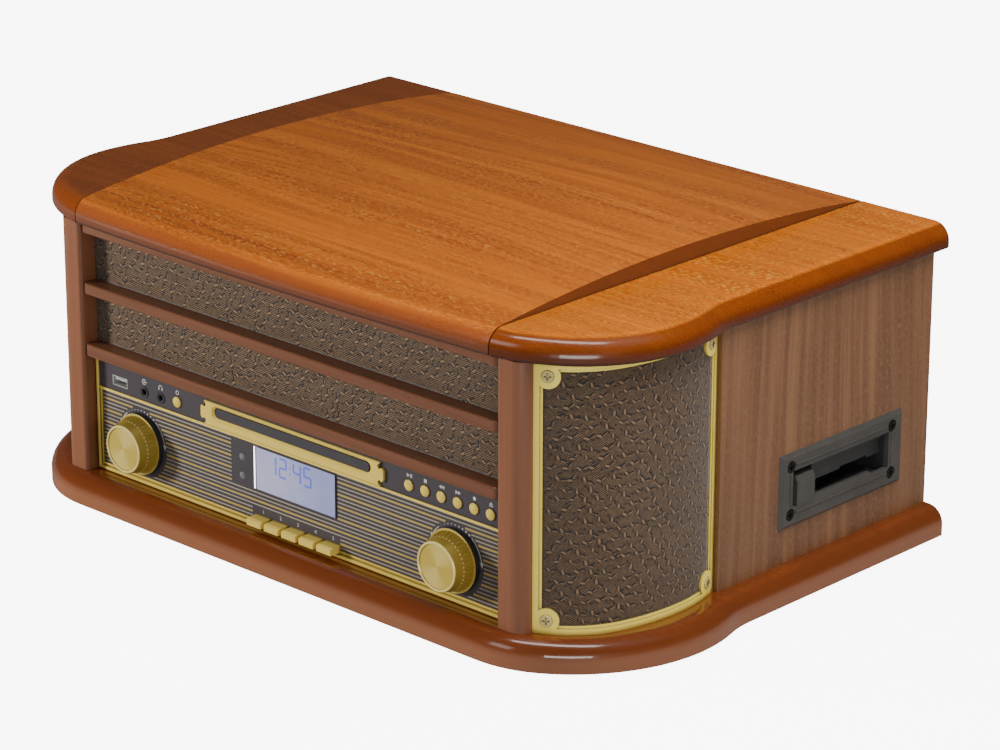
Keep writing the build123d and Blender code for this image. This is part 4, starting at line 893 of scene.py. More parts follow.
# The left wing's colours are set darker than the right wing's, as painted shade on that side
WING_LEFT_SHADED_VENEER = Veneer("wing_veneer_left_shaded", light=(0.185, 0.044, 0.005), middle=(0.145, 0.032, 0.004),
                          dark=(0.097, 0.020, 0.003), pore=(0.26, 0.10, 0.03), edge=(0.15, 0.030, 0.003),
                          low=(0.09, 0.020, 0.005), shift=(-0.9, 0.43, 0.0), bend=0.07)
# The plinth's light low colour on its upright and lower faces is a painted reflection of the bright floor
PLINTH_STAIN = Veneer("plinth_stain", light=(0.15, 0.035, 0.008), middle=(0.12, 0.027, 0.007),
                      dark=(0.09, 0.018, 0.005), pore=(0.16, 0.05, 0.016), edge=(0.098, 0.0225, 0.005),
                      low=(0.24, 0.094, 0.043), turn_away=(0.8, 0.97), pore_share=0.15, contrast=0.3,
                      smooth=0.14, dull=0.22, coat=0.4, coat_rough=0.05)
PANEL_VENEER = Veneer("panel_walnut", light=(0.195, 0.089, 0.039), middle=(0.130, 0.055, 0.023),
                      dark=(0.070, 0.028, 0.013), pore=(0.24, 0.135, 0.075), grain=Grain.UPRIGHT,
                      shift=(0.31, 0.065, 0.0), bend=0.06, pore_share=0.5, ring=0.004, streak=0.8,
                      smooth=0.36, dull=0.46, coat=0.08, coat_rough=0.3, face_up=False)
FRAME_UPRIGHT = Veneer("frame_wood_upright", light=(0.182, 0.067, 0.031), middle=(0.160, 0.057, 0.025),
                       dark=(0.12, 0.042, 0.019), pore=(0.18, 0.08, 0.04), grain=Grain.UPRIGHT, bend=0.03,
                       contrast=0.3, pore_share=0.2, smooth=0.3, dull=0.38, coat=0.15, coat_rough=0.2,
                       face_up=False)
FRAME_ACROSS = replace(FRAME_UPRIGHT, name="frame_wood_across", light=(0.13, 0.050, 0.024),
                       middle=(0.11, 0.040, 0.019), dark=(0.08, 0.027, 0.012), pore=(0.16, 0.07, 0.04),
                       grain=Grain.ALONG_X)
BOARD = Moulding("dark_fibreboard", base=(0.030, 0.020, 0.014), fleck=(0.07, 0.048, 0.034), smooth=0.7,
                 dull=0.85, grain=1400.0, depth=0.0001, wear=0.2, worn=(0.10, 0.07, 0.05))
# The gilt finishes paint shade into their crevices (ambient occlusion) with the darker colour given here
GILT = Metal("satin_gilt", base=(0.76, 0.56, 0.11), deep=(0.56, 0.41, 0.07), smooth=0.36, dull=0.46,
             metallic=0.3, recess=(0.26, 0.18, 0.03), crevice=0.0025)
GILT_UPRIGHT = Metal("satin_gilt_upright", base=(0.95, 0.75, 0.12), deep=(0.80, 0.61, 0.08),
                     grain=Grain.UPRIGHT, smooth=0.32, dull=0.42, metallic=0.15, recess=(0.26, 0.18, 0.03),
                     crevice=0.004)
BLACK = Moulding("black_moulding")
SOFT_BLACK = Moulding("black_rubber_matt", base=(0.016, 0.016, 0.016), fleck=(0.03, 0.03, 0.03), smooth=0.6,
                      dull=0.75, grain=1600.0)
CASSETTE_BLACK = Moulding("cassette_moulding", base=(0.040, 0.036, 0.032), fleck=(0.075, 0.069, 0.061),
                          smooth=0.34, dull=0.44)
TRAY_GREY = Moulding("tray_moulding", base=(0.035, 0.033, 0.036), fleck=(0.06, 0.057, 0.06), smooth=0.4)
PANEL_GREY = Moulding("fascia_print_grey", base=(0.042, 0.036, 0.040), fleck=(0.056, 0.048, 0.053),
                      smooth=0.36, dull=0.46, depth=0.00002, wear=0.0)
FOIL_GOLD = Metal("foil_gold", base=(0.43, 0.315, 0.10), deep=(0.34, 0.24, 0.07), smooth=0.42, dull=0.5,
                  metallic=0.35, wear=0.0)
FOIL_PALE = replace(FOIL_GOLD, name="foil_pale", base=(0.335, 0.29, 0.21), deep=(0.27, 0.235, 0.17),
                    metallic=0.25)
PRINT_PALE = Moulding("pale_print", base=(0.42, 0.40, 0.38), fleck=(0.36, 0.34, 0.32), smooth=0.5, dull=0.6,
                      wear=0.0)
SOCKETS = SocketSet("socket_shells")
# The frame screws paint shade into their cross recesses and round their heads
BRIGHT_STEEL = Metal("bright_steel", base=(0.78, 0.64, 0.28), deep=(0.52, 0.41, 0.15), smooth=0.2, dull=0.3,
                     metallic=0.5, crevice=0.0012)
PLAIN_STEEL = Metal("plated_steel", base=(0.50, 0.50, 0.49), deep=(0.35, 0.35, 0.34), smooth=0.34, dull=0.5,
                    metallic=0.4)
BLACK_SCREW = Metal("black_oxide", base=(0.05, 0.048, 0.045), deep=(0.025, 0.024, 0.023), smooth=0.2,
                    dull=0.3)
HINGE_BRASS = Metal("hinge_brass", base=(0.66, 0.49, 0.19), deep=(0.42, 0.30, 0.10), metallic=0.5)
ALUMINIUM = Metal("turned_aluminium", base=(0.58, 0.58, 0.59), deep=(0.42, 0.42, 0.43), smooth=0.26,
                  dull=0.36, metallic=0.35)
CIRCUIT_GREEN = Moulding("circuit_green", base=(0.010, 0.06, 0.022), fleck=(0.03, 0.12, 0.05), smooth=0.3,
                         dull=0.45, grain=500.0, worn=(0.3, 0.25, 0.1))
CONE_PAPER = Moulding("cone_paper", base=(0.02, 0.019, 0.018), fleck=(0.05, 0.047, 0.044), smooth=0.75,
                      dull=0.9, grain=900.0, depth=0.0002)
CLOTH = Weave("speaker_cloth_weave")
FLECKS = Yarn("speaker_cloth_flecks")
DISPLAY_BLACK = replace(PANEL_GREY, name="display_surround", smooth=0.3, dull=0.4, depth=0.00001,
                        spots=((-43.9 * MM, 52.4 * MM), (-43.9 * MM, 64.4 * MM)))
DISPLAY_LIT = Lit("display_backlight", centre_x=0.0035)
DIGIT_BLUE = Lit("display_digits", near=(0.075, 0.085, 0.42), far=(0.09, 0.10, 0.48), glow=0.5)
EDGE_GLOW = Lit("display_edge_light", near=(0.85, 0.9, 1.0), far=(0.95, 0.97, 1.0), glow=3.0)


def dress(finish: Finish, *nodes: str) -> None:
    """Give CAD nodes a finish.

    Args:
        finish: The finish.
        *nodes: The names of the nodes.
    """
    for name in nodes:
        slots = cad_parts[name].data.materials
        slots.clear()
        slots.append(finish.material())
        LOG.info("%s: %s", name, finish.name)


# --------------------------------------
# Meshes
# --------------------------------------
class MeshMaker:
    """Collects points and faces, and makes one piece of them."""

    def __init__(self) -> None:
        """Start empty."""
        self.points: list[Point] = []
        self.faces: list[tuple[int, ...]] = []

    def prism(self, outline: Sequence[Pair], y_front: float, y_back: float) -> None:
        """Add a flat plate that stands upright, facing the front.

        Args:
            outline: X and Z of its corners, anticlockwise seen from the front.
            y_front: Y of its front face.
            y_back: Y of its back face.
        """
        start, count = len(self.points), len(outline)
        self.points += [(x, y_front, z) for x, z in outline] + [(x, y_back, z) for x, z in outline]
        front = tuple(range(start, start + count))
        back = tuple(reversed(range(start + count, start + 2 * count)))
        self.faces += [front, back]
        for number in range(count):
            after = (number + 1) % count
            self.faces.append((start + number, start + count + number, start + count + after, start + after))

    def numeral(self, text: str, x: float, z: float, size: float, y_front: float, y_back: float) -> None:
        """Add a numeral that faces the front, with its doubled points made one.

        Args:
            text: The numeral.
            x: Its middle along X.
            z: Its middle in height.
            size: The size of its type.
            y_front: Y of its front face.
            y_back: Y of its back face.
        """
        curve = bpy.data.curves.new("numeral", "FONT")
        curve.body, curve.size = text, size
        curve.align_x, curve.align_y = "CENTER", "CENTER"
        curve.resolution_u = 2
        curve.extrude = (y_back - y_front) / 2
        holder = bpy.data.objects.new("numeral", curve)
        bpy.context.scene.collection.objects.link(holder)
        graph = bpy.context.evaluated_depsgraph_get()
        mesh = bpy.data.meshes.new_from_object(holder.evaluated_get(graph), depsgraph=graph)
        bpy.data.objects.remove(holder)
        middle = (y_front + y_back) / 2
        known: dict[Point, int] = {}
        order = []
        for vertex in mesh.vertices:
            across, up, out = vertex.co
            spot = (round(x + across, 7), round(middle - out, 7), round(z + up, 7))
            order.append(known.setdefault(spot, len(self.points) + len(known)))
        self.points += known
        for face in mesh.polygons:
            corners = tuple(dict.fromkeys(order[number] for number in face.vertices))
            if len(corners) > 2:
                self.faces.append(corners)

    def piece(self, name: str, finish: Finish) -> Object:
        """Make the piece.

        Args:
            name: Its name.
            finish: Its finish.

        Returns:
            The object, linked into the scene.
        """
        mesh = bpy.data.meshes.new(name)
        mesh.from_pydata(self.points, [], self.faces)
        mesh.materials.append(finish.material())
        return link(name, mesh)


def link(name: str, mesh: Mesh) -> Object:
    """Put a mesh into the scene as an object.

    Args:
        name: The object's name.
        mesh: Its mesh.

    Returns:
        The object.
    """
    piece = bpy.data.objects.new(name, mesh)
    bpy.context.scene.collection.objects.link(piece)
    return piece


def fit(piece: Object) -> None:
    """Let a piece ride on the cabinet."""
    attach(piece, "cabinet")


def middle_of(node: str) -> float:
    """Give the X of a node's middle."""
    low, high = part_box(node)
    return (low.x + high.x) / 2


def polar(centre: Pair, radius: float, angle: float) -> Pair:
    """Find the point at a distance and an angle from a centre."""
    return (centre[0] + radius * math.cos(angle), centre[1] + radius * math.sin(angle))


def grow(name: str, carrier: Mesh, tree: NodeTree, values: dict[str, Any]) -> Object:
    """Run a Geometry Nodes tree on a carrier mesh and keep the result as a plain mesh.

    Args:
        name: The name of the finished piece.
        carrier: The mesh that the tree works on.
        tree: The Geometry Nodes tree.
        values: Values of its named inputs.

    Returns:
        The finished piece.
    """
    holder = link(name + "_carrier", carrier)
    modifier = holder.modifiers.new("grow", "NODES")
    modifier.node_group = tree
    for item in tree.interface.items_tree:
        if item.item_type == "SOCKET" and item.in_out == "INPUT" and item.name in values:
            modifier[item.identifier] = values[item.name]
    graph = bpy.context.evaluated_depsgraph_get()
    grown = holder.evaluated_get(graph)
    mesh = bpy.data.meshes.new_from_object(grown, preserve_all_data_layers=True, depsgraph=graph)
    holder.modifiers.remove(modifier)
    bpy.data.objects.remove(holder)
    return link(name, mesh)


def finish_instances(tree: Tree, instances: Any, given: Node, out: Node) -> None:
    """End a Geometry Nodes tree: make the instances real and give them the material.

    Args:
        tree: The tree.
        instances: The socket that gives the instances.
        given: The tree's input node.
        out: The tree's output node.
    """
    real = tree.add("GeometryNodeRealizeInstances", {0: instances})
    painted = tree.add("GeometryNodeSetMaterial", {"Geometry": real, "Material": given.outputs["Material"]})
    tree.fill(out.inputs[0], painted)


# Tone, length, width, height, place along, place aside and turn of each yarn of a fleck, as shares of
# its size
FLECK_YARNS = ((1.0, 1.0, 0.9, 1.0, 0.0, 0.0, 0.0), (0.0, 1.15, 0.55, 1.1, 0.05, 0.62, 0.12),
               (0.0, 1.1, 0.5, 1.1, -0.06, -0.62, 0.0), (0.0, 1.15, 0.95, 0.8, 0.5, 1.35, 1.05),
               (0.6, 0.95, 0.4, 0.9, 0.68, 1.15, 1.05), (0.0, 0.8, 0.65, 1.0, -0.62, -1.5, 0.5))


@cache
def strip_tree() -> NodeTree:
    """A thin strip on every point of the carrier, as long as the point's span.

    Returns:
        The Geometry Nodes tree.
    """
    tree, given, out = new_group("foil_strips", "GeometryNodeTree", [
        ("Geometry", GEOMETRY), ("Height", FLOAT, 0.001), ("Thickness", FLOAT, 0.00006),
        ("Material", "NodeSocketMaterial"),
    ], [("Geometry", GEOMETRY)])
    span = tree.add("GeometryNodeInputNamedAttribute", {"Name": "span"}, data_type="FLOAT").outputs[0]
    size = tree.join(span, given.outputs["Thickness"], given.outputs["Height"])
    cube = tree.add("GeometryNodeMeshCube")
    laid = tree.add("GeometryNodeInstanceOnPoints", {"Points": given.outputs["Geometry"],
                                                     "Instance": cube.outputs[0], "Scale": size})
    finish_instances(tree, laid, given, out)
    return tree.tree


@cache
def fleck_tree() -> NodeTree:
    """A woven fleck of six short yarns, copper, brown and black, on every face of the carrier.

    Returns:
        The Geometry Nodes tree.
    """
    tree, given, out = new_group("yarn_flecks", "GeometryNodeTree", [
        ("Geometry", GEOMETRY), ("Length", FLOAT, 0.003), ("Width", FLOAT, 0.0013),
        ("Height", FLOAT, 0.0004), ("Seed", "NodeSocketInt", 1), ("Material", "NodeSocketMaterial"),
    ], [("Geometry", GEOMETRY)])
    where = given.outputs
    ball = tree.add("GeometryNodeMeshUVSphere", {"Segments": 5, "Rings": 3, "Radius": 0.5}).outputs[0]
    motif = tree.add("GeometryNodeJoinGeometry")
    for tone, long, wide, high, along, aside, turn in FLECK_YARNS:
        size = tree.join(tree.times(where["Length"], long), tree.times(where["Width"], wide),
                         tree.times(where["Height"], high))
        shift = tree.join(tree.times(where["Length"], along), tree.times(where["Width"], aside), 0.0)
        yarn = tree.add("GeometryNodeTransform", {"Geometry": ball, "Translation": shift,
                                                  "Rotation": (0.0, 0.0, turn), "Scale": size})
        toned = tree.add("GeometryNodeStoreNamedAttribute", {"Geometry": yarn, "Name": "tone", "Value": tone},
                         data_type="FLOAT", domain="POINT")
        tree.tree.links.new(toned.outputs[0], motif.inputs[0])
    kept = tree.add("GeometryNodeCaptureAttribute", {"Geometry": where["Geometry"]}, domain="FACE")
    kept.capture_items.new("VECTOR", "normal")
    tree.fill(kept.inputs[1], tree.add("GeometryNodeInputNormal"))
    spots = tree.add("GeometryNodeMeshToPoints", {"Mesh": kept.outputs[0]}, mode="FACES")
    upright = tree.add("FunctionNodeAlignRotationToVector", {"Vector": kept.outputs[1]}, axis="Z")
    chance = tree.add("FunctionNodeRandomValue", {"Seed": where["Seed"]}, data_type="FLOAT")
    lean = {2: 0.2, 3: 0.75, "Seed": tree.math("ADD", where["Seed"], 5)}
    slant = tree.add("FunctionNodeRandomValue", lean, data_type="FLOAT")
    side = tree.math("SIGN", tree.math("SUBTRACT", chance.outputs[1], 0.5))
    spin = tree.join(0.0, 0.0, tree.times(side, slant.outputs[1]))
    turned = tree.add("FunctionNodeRotateRotation", {0: upright.outputs[0],
                                                     1: tree.add("FunctionNodeEulerToRotation", {0: spin})})
    turned.rotation_space = "LOCAL"
    growth = {2: 0.85, 3: 1.15, "Seed": tree.math("ADD", where["Seed"], 9)}
    grown = tree.add("FunctionNodeRandomValue", growth, data_type="FLOAT")
    laid = tree.add("GeometryNodeInstanceOnPoints", {"Points": spots, "Instance": motif, "Rotation": turned,
                                                     "Scale": grown.outputs[1]})
    finish_instances(tree, laid, given, out)
    return tree.tree


# --------------------------------------
# Stage
# --------------------------------------
@dataclass(frozen=True)
class View:
    """The camera: where it stands, where it looks and its lens."""

    place: Point = (1.5720, -1.6313, 0.9149)
    azimuth: float = 43.38
    elevation: float = 20.03
    roll: float = 0.12
    focal_pixels: float = 3891.93
    frame_pixels: float = 1000.0
    sensor_mm: float = 36.0
    far: float = 30.0

    def build(self) -> None:
        """Make the camera and set it as the scene's own."""
        data = bpy.data.cameras.new("view")
        data.sensor_width = self.sensor_mm
        data.lens = self.focal_pixels / self.frame_pixels * self.sensor_mm
        data.clip_end = self.far
        camera = bpy.data.objects.new("view", data)
        turn = Matrix.Rotation(math.radians(self.azimuth), 4, "Z")
        tilt = Matrix.Rotation(math.radians(90 - self.elevation), 4, "X")
        roll = Matrix.Rotation(math.radians(self.roll), 4, "Z")
        camera.matrix_world = Matrix.Translation(self.place) @ turn @ tilt @ roll
        bpy.context.scene.collection.objects.link(camera)
        bpy.context.scene.camera = camera


@dataclass(frozen=True)
class Softbox:
    """A rectangular studio light that faces a point."""

    name: str
    place: Point
    size: Pair
    watts: float
    aim: Point = (0.0, 0.0, 0.1)
    shines: bool = False

    def build(self) -> None:
        """Make the light: a box that shines shows in reflections only, and any other lights the part only."""
        data = bpy.data.lights.new(self.name, "AREA")
        data.shape = "RECTANGLE"
        data.size, data.size_y = self.size
        data.energy = self.watts
        light = bpy.data.objects.new(self.name, data)
        light.location = self.place
        towards = Vector(self.aim) - Vector(self.place)
        light.rotation_euler = towards.to_track_quat("-Z", "Y").to_euler()
        light.visible_glossy = self.shines
        light.visible_diffuse = not self.shines
        light.visible_camera = False
        bpy.context.scene.collection.objects.link(light)


@dataclass
class Studio:
    """The pale floor, the dim surround and the softboxes."""

    floor_half: float = 6.0
    floor_glow: float = 8.0
    floor_colour: Colour = (0.22, 0.21, 0.20)
    floor_rough: float = 0.9
    bounce: float = 0.45
    surround: float = 0.2
    mirrored: float = 0.06
    boxes: list[Softbox] = field(default_factory=lambda: [
        Softbox("top_wash", (0.47, -0.02, 0.80), (0.5, 0.6), 11.5, aim=(0.25, 0.0, 0.2)),
        Softbox("front_wash", (-1.6, -1.4, 0.45), (0.32, 0.32), 80),
        Softbox("side_wash", (2.0, -1.0, 0.6), (1.0, 0.7), 21.5),
        Softbox("front_box", (-0.6, -2.4, 1.3), (1.0, 0.8), 7, shines=True),
        Softbox("corner_box", (0.66, -0.66, 0.14), (0.4, 0.12), 1.5, shines=True),
        Softbox("rim_box", (0.2, -0.5, 2.0), (1.5, 0.35), 18, shines=True),
    ])

    def build(self) -> None:
        """Make the floor, the world and the lights."""
        half = self.floor_half
        mesh = bpy.data.meshes.new("floor")
        mesh.from_pydata([(-half, -half, 0), (half, -half, 0), (half, half, 0), (-half, half, 0)],
                         [], [(0, 1, 2, 3)])
        floor = link("floor", mesh)
        material = bpy.data.materials.new("pale_floor")
        material.use_nodes = True
        shader = material.node_tree.nodes["Principled BSDF"]
        shader.inputs["Base Color"].default_value = (*self.floor_colour, 1)
        shader.inputs["Roughness"].default_value = self.floor_rough
        shader.inputs["Specular IOR Level"].default_value = 0.0
        shader.inputs["Emission Color"].default_value = (1, 1, 1, 1)
        self.glow(material.node_tree, shader.inputs["Emission Strength"], self.bounce, 0.0)
        mesh.materials.append(material)
        world = bpy.data.worlds.new("studio")
        world.use_nodes = True
        back = world.node_tree.nodes["Background"]
        back.inputs["Color"].default_value = (1, 1, 1, 1)
        self.glow(world.node_tree, back.inputs["Strength"], self.surround, self.mirrored)
        bpy.context.scene.world = world
        for box in self.boxes:
            box.build()

    def glow(self, node_tree: NodeTree, socket: Socket, washed: float, mirrored: float) -> None:
        """Make a surface bright where it is looked at, and dim in its light and in reflections.

        Args:
            node_tree: The material's or the world's tree.
            socket: The strength socket.
            washed: The strength that lights the part.
            mirrored: The strength that the part reflects.
        """
        tree = Tree(node_tree)
        path = tree.add("ShaderNodeLightPath").outputs
        strength = tree.math("MULTIPLY_ADD", path["Is Glossy Ray"], mirrored - washed, washed)
        seen = path["Is Camera Ray"]
        tree.fill(socket, tree.math("MULTIPLY_ADD", seen, self.floor_glow - washed, strength))


# --------------------------------------
# Sub-assemblies
# --------------------------------------
@dataclass
class Cabinet:
    """The wooden case: plinth, side panels, front posts and rails, boards, feet and screws."""

    def dress(self) -> None:
        """Give each board its finish."""
        dress(PLINTH_STAIN, "plinth")
        dress(PANEL_VENEER, "side_panel_left", "side_panel_right")
        dress(FRAME_UPRIGHT, "front_pillars")
        dress(FRAME_ACROSS, "front_rails")
        dress(BOARD, "base_panel", "back_panel", "front_baffle", "speaker_baffles")
        dress(SOFT_BLACK, "rubber_feet")
        dress(BLACK_SCREW, "cabinet_screws")
        # The left wing takes the copy of the wing veneer that is darkened with painted shade
        dress(WING_LEFT_SHADED_VENEER, "wing_left")
        dress(WING_RIGHT_VENEER, "wing_right")
        dress(TOP_VENEER, "lid")
        dress(HINGE_BRASS, "hinge_leaves_fixed", "hinge_leaves_lid")


@dataclass
class BayPath:
    """The bowed line of a speaker bay in plan, on the right-hand side."""

    start: Pair = (0.1963, -0.1486)
    heading: float = 22.0
    radii: tuple[float, ...] = (0.0606, 0.137, 0.109)
    turns: tuple[float, ...] = (50.4, 17.6, 19.7)
    negligible: float = 1e-9

    def length(self) -> float:
        """Give the length of the line."""
        return sum(radius * math.radians(turn) for radius, turn in zip(self.radii, self.turns))

    def at(self, distance: float, inset: float) -> Pair:
        """Find a point beside the line.

        Args:
            distance: How far along the line.
            inset: How far inside it.

        Returns:
            X and Y of the point.
        """
        x, y = self.start
        angle = math.radians(self.heading)
        for radius, turn in zip(self.radii, self.turns):
            centre = (x - radius * math.sin(angle), y + radius * math.cos(angle))
            swept = min(distance / radius, math.radians(turn))
            angle += swept
            x, y = centre[0] + radius * math.sin(angle), centre[1] - radius * math.cos(angle)
            distance -= swept * radius
            if distance <= self.negligible:
                break
        return x - inset * math.sin(angle), y + inset * math.cos(angle)


@dataclass(frozen=True)
class Cut:
    """A cut of cloth: its size, where its points lie in space, and which of its places are kept."""

    surface: Callable[[float, float], Point]
    width: float
    height: float
    keep: Callable[[float, float], bool]


# Factors of the two hashes that shift a fleck along and up
JITTER_KEYS = ((12.9898, 78.233, 43758.5453), (39.346, 11.135, 24634.6345))


@dataclass
class GrilleCloth:
    """The flecked cloth behind the front rails and in the two speaker bays."""

    path: BayPath = field(default_factory=BayPath)
    lower_strip: Pair = (7.9 * MM, 40.6 * MM)
    upper_strip: Pair = (47.9 * MM, 6.7 * MM)
    front_gap: float = 1.0 * MM
    bay_inset: float = 1.6 * MM
    margin: float = 5.3 * MM
    lobe_inset: float = 8.2 * MM
    lobe_radius: float = 7.4 * MM
    lobe_overlap: float = 1.0 * MM
    cell: float = 2.0 * MM
    cloth: float = 0.7 * MM
    fleck_pitch: Pair = (8.2 * MM, 6.2 * MM)
    fleck_jitter: float = 1.0 * MM
    fleck_length: float = 3.8 * MM
    fleck_width: float = 1.9 * MM
    fleck_height: float = 0.5 * MM
    fleck_seat: float = 0.02 * MM

    def cells(self, cut: Cut) -> tuple[int, int]:
        """Give the number of cells across and up a cut."""
        return max(2, round(cut.width / self.cell)), max(2, round(cut.height / self.cell))

    def grid(self, cut: Cut) -> Mesh:
        """Make a grid mesh over a cut.

        Args:
            cut: The cut.

        Returns:
            The mesh, with the UV map named cloth in metres.
        """
        across, up = self.cells(cut)
        spots = [(cut.width * i / across, cut.height * j / up)
                 for j in range(up + 1) for i in range(across + 1)]
        faces = []
        for j in range(up):
            for i in range(across):
                corner = j * (across + 1) + i
                face = (corner, corner + 1, corner + across + 2, corner + across + 1)
                if any(cut.keep(*spots[number]) for number in face):
                    faces.append(face)
        used = sorted({number for face in faces for number in face})
        order = {number: place for place, number in enumerate(used)}
        mesh = bpy.data.meshes.new("cloth")
        mesh.from_pydata([cut.surface(*spots[number]) for number in used], [],
                         [tuple(order[number] for number in face) for face in faces])
        uv = mesh.uv_layers.new(name="cloth")
        for loop in mesh.loops:
            uv.data[loop.index].uv = spots[used[loop.vertex_index]]
        mesh.polygons.foreach_set("use_smooth", [True] * len(mesh.polygons))
        return mesh

    def jitter(self, seed: int, column: int, row: int, key: tuple[float, float, float]) -> float:
        """Give the shift of one fleck, which is the same each time.

        Args:
            seed: The cloth's seed.
            column: The fleck's column.
            row: The fleck's row.
            key: The factors of the hash.

        Returns:
            The shift, up to fleck_jitter either way.
        """
        wave = math.sin(seed + key[0] * column + key[1] * row) * key[2]
        return (wave - math.floor(wave) - 0.5) * 2 * self.fleck_jitter

    def staggered(self, cut: Cut, seed: int) -> Mesh:
        """Scatter small faces in staggered rows over a cut, one for each fleck.

        Args:
            cut: The cut.
            seed: The seed of the jitter.

        Returns:
            A mesh with one tiny face for each fleck, which carries its place and its normal.
        """
        pitch, rise = self.fleck_pitch
        edge, tiny = self.fleck_length / 2, self.fleck_seat
        points = []
        for row in range(int(cut.height / rise) + 1):
            for column in range(int(cut.width / pitch) + 1):
                x = (column + 0.5 * (row % 2)) * pitch + self.jitter(seed, column, row, JITTER_KEYS[0])
                y = (row + 0.3) * rise + self.jitter(seed, column, row, JITTER_KEYS[1])
                inside = edge < x < cut.width - edge and edge < y < cut.height - edge
                if inside and cut.keep(x, y):
                    points += [cut.surface(x, y), cut.surface(x + tiny, y), cut.surface(x, y + tiny)]
        mesh = bpy.data.meshes.new("flecks")
        mesh.from_pydata(points, [], [(start, start + 1, start + 2) for start in range(0, len(points), 3)])
        return mesh

    def lay(self, name: str, cut: Cut, seed: int) -> None:
        """Make one cloth with its flecks.

        Args:
            name: The cloth's name.
            cut: Its cut.
            seed: The seed of its flecks.
        """
        mesh = self.grid(cut)
        mesh.materials.append(CLOTH.material())
        cloth = link(name, mesh)
        wall = cloth.modifiers.new("wall", "SOLIDIFY")
        wall.thickness = self.cloth
        wall.offset = -1
        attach(cloth, "cabinet")
        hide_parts("grille_cloth")
        carrier = self.staggered(cut, seed)
        flecks = grow(name + "_flecks", carrier, fleck_tree(), {
            "Length": self.fleck_length, "Width": self.fleck_width, "Height": self.fleck_height,
            "Seed": seed, "Material": FLECKS.material()})
        fit(flecks)
        LOG.info("%s: %d cells, %d flecks", name, len(mesh.polygons), len(carrier.polygons))

    def strip(self, bottom: float, top: float) -> Cut:
        """Cut a flat strip that lies behind the front rails.

        Args:
            bottom: Its lower edge.
            top: Its upper edge.

        Returns:
            The cut.
        """
        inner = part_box("fascia")[1].x
        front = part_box("front_baffle")[0].y - self.front_gap
        return Cut(lambda along, up: (along - inner, front, bottom + up), 2 * inner, top - bottom,
                   lambda along, up: True)

    def bay(self, side: int) -> Cut:
        """Cut the cloth of a speaker bay.

        Args:
            side: 1 for the right bay and -1 for the left.

        Returns:
            The cut, which leaves out the lobes round the frame's screws.
        """
        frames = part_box("speaker_frames")
        bottom, height = frames[0].z + self.margin, frames[1].z - frames[0].z - 2 * self.margin
        width = self.path.length() - 2 * self.margin
        reach = self.lobe_radius - self.lobe_overlap
        corner = self.margin - self.lobe_inset

        def clear(along: float, up: float) -> bool:
            """Tell whether a place lies outside the lobes."""
            return math.hypot(min(along, width - along) + corner, min(up, height - up) + corner) > reach

        def bowed(along: float, up: float) -> Point:
            """Give a point of the bowed cloth."""
            x, y = self.path.at((along if side > 0 else width - along) + self.margin, self.bay_inset)
            return (side * x, y, bottom + up)

        return Cut(bowed, width, height, clear)

    def build(self) -> None:
        """Make the two front strips and the two bay cloths."""
        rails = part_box("front_rails")
        low, high = (rails[0].z + height for height in self.lower_strip)
        self.lay("front_cloth_lower", self.strip(low, high), 11)
        low, high = rails[0].z + self.upper_strip[0], rails[1].z - self.upper_strip[1]
        self.lay("front_cloth_upper", self.strip(low, high), 12)
        self.lay("bay_cloth_right", self.bay(1), 18)
        self.lay("bay_cloth_left", self.bay(-1), 16)

    def dress(self) -> None:
        """Finish the frames, their screws and the loudspeakers behind the cloth."""
        dress(GILT_UPRIGHT, "speaker_frames")
        dress(BRIGHT_STEEL, "speaker_frame_screws")
        dress(CONE_PAPER, "speaker_drivers")


def slab(left: float, bottom: float, right: float, top: float) -> tuple[Pair, ...]:
    """Give the corners of an upright rectangle, anticlockwise."""
    return ((left, bottom), (right, bottom), (right, top), (left, top))


def wedge(tip: float, base: float, half: float = 1.2) -> tuple[Pair, ...]:
    """Give the corners of a triangle that points along X from its base to its tip, anticlockwise."""
    corners = ((base, -half), (tip, 0.0), (base, half))
    return corners if tip > base else corners[::-1]


# Corners of the plain symbols, in millimetres from the middle of each
BUTTON_MARKS = {
    "play_button": (wedge(0.4, -1.9), slab(0.8, -1.2, 1.3, 1.2), slab(1.8, -1.2, 2.3, 1.2)),
    "stop_button": (slab(-1.1, -1.1, 1.1, 1.1),),
    "track_down_button": (wedge(-2.0, 0.0), wedge(0.1, 2.1)),
    "track_up_button": (wedge(0.0, -2.0), wedge(2.1, 0.1)),
    "record_button": (tuple((1.2 * math.cos(turn * math.pi / 6), 1.2 * math.sin(turn * math.pi / 6))
                            for turn in range(12)),),
    "open_button": (((-1.5, -0.2), (1.5, -0.2), (0.0, 1.4)), slab(-1.5, -1.3, 1.5, -0.75)),
}
PHONES_MARKS = (slab(-1.9, -1.5, -1.0, 0.1), slab(1.0, -1.5, 1.9, 0.1))
LINE_MARKS = (slab(0.2, -0.25, 2.6, 0.25), ((-0.6, 0.0), (0.5, -0.9), (0.5, 0.9)))


KEYS = ("menu", "info", "scan", "preset", "enter")
BUTTONS = ("function", "play", "stop", "track_down", "track_up", "record", "open")


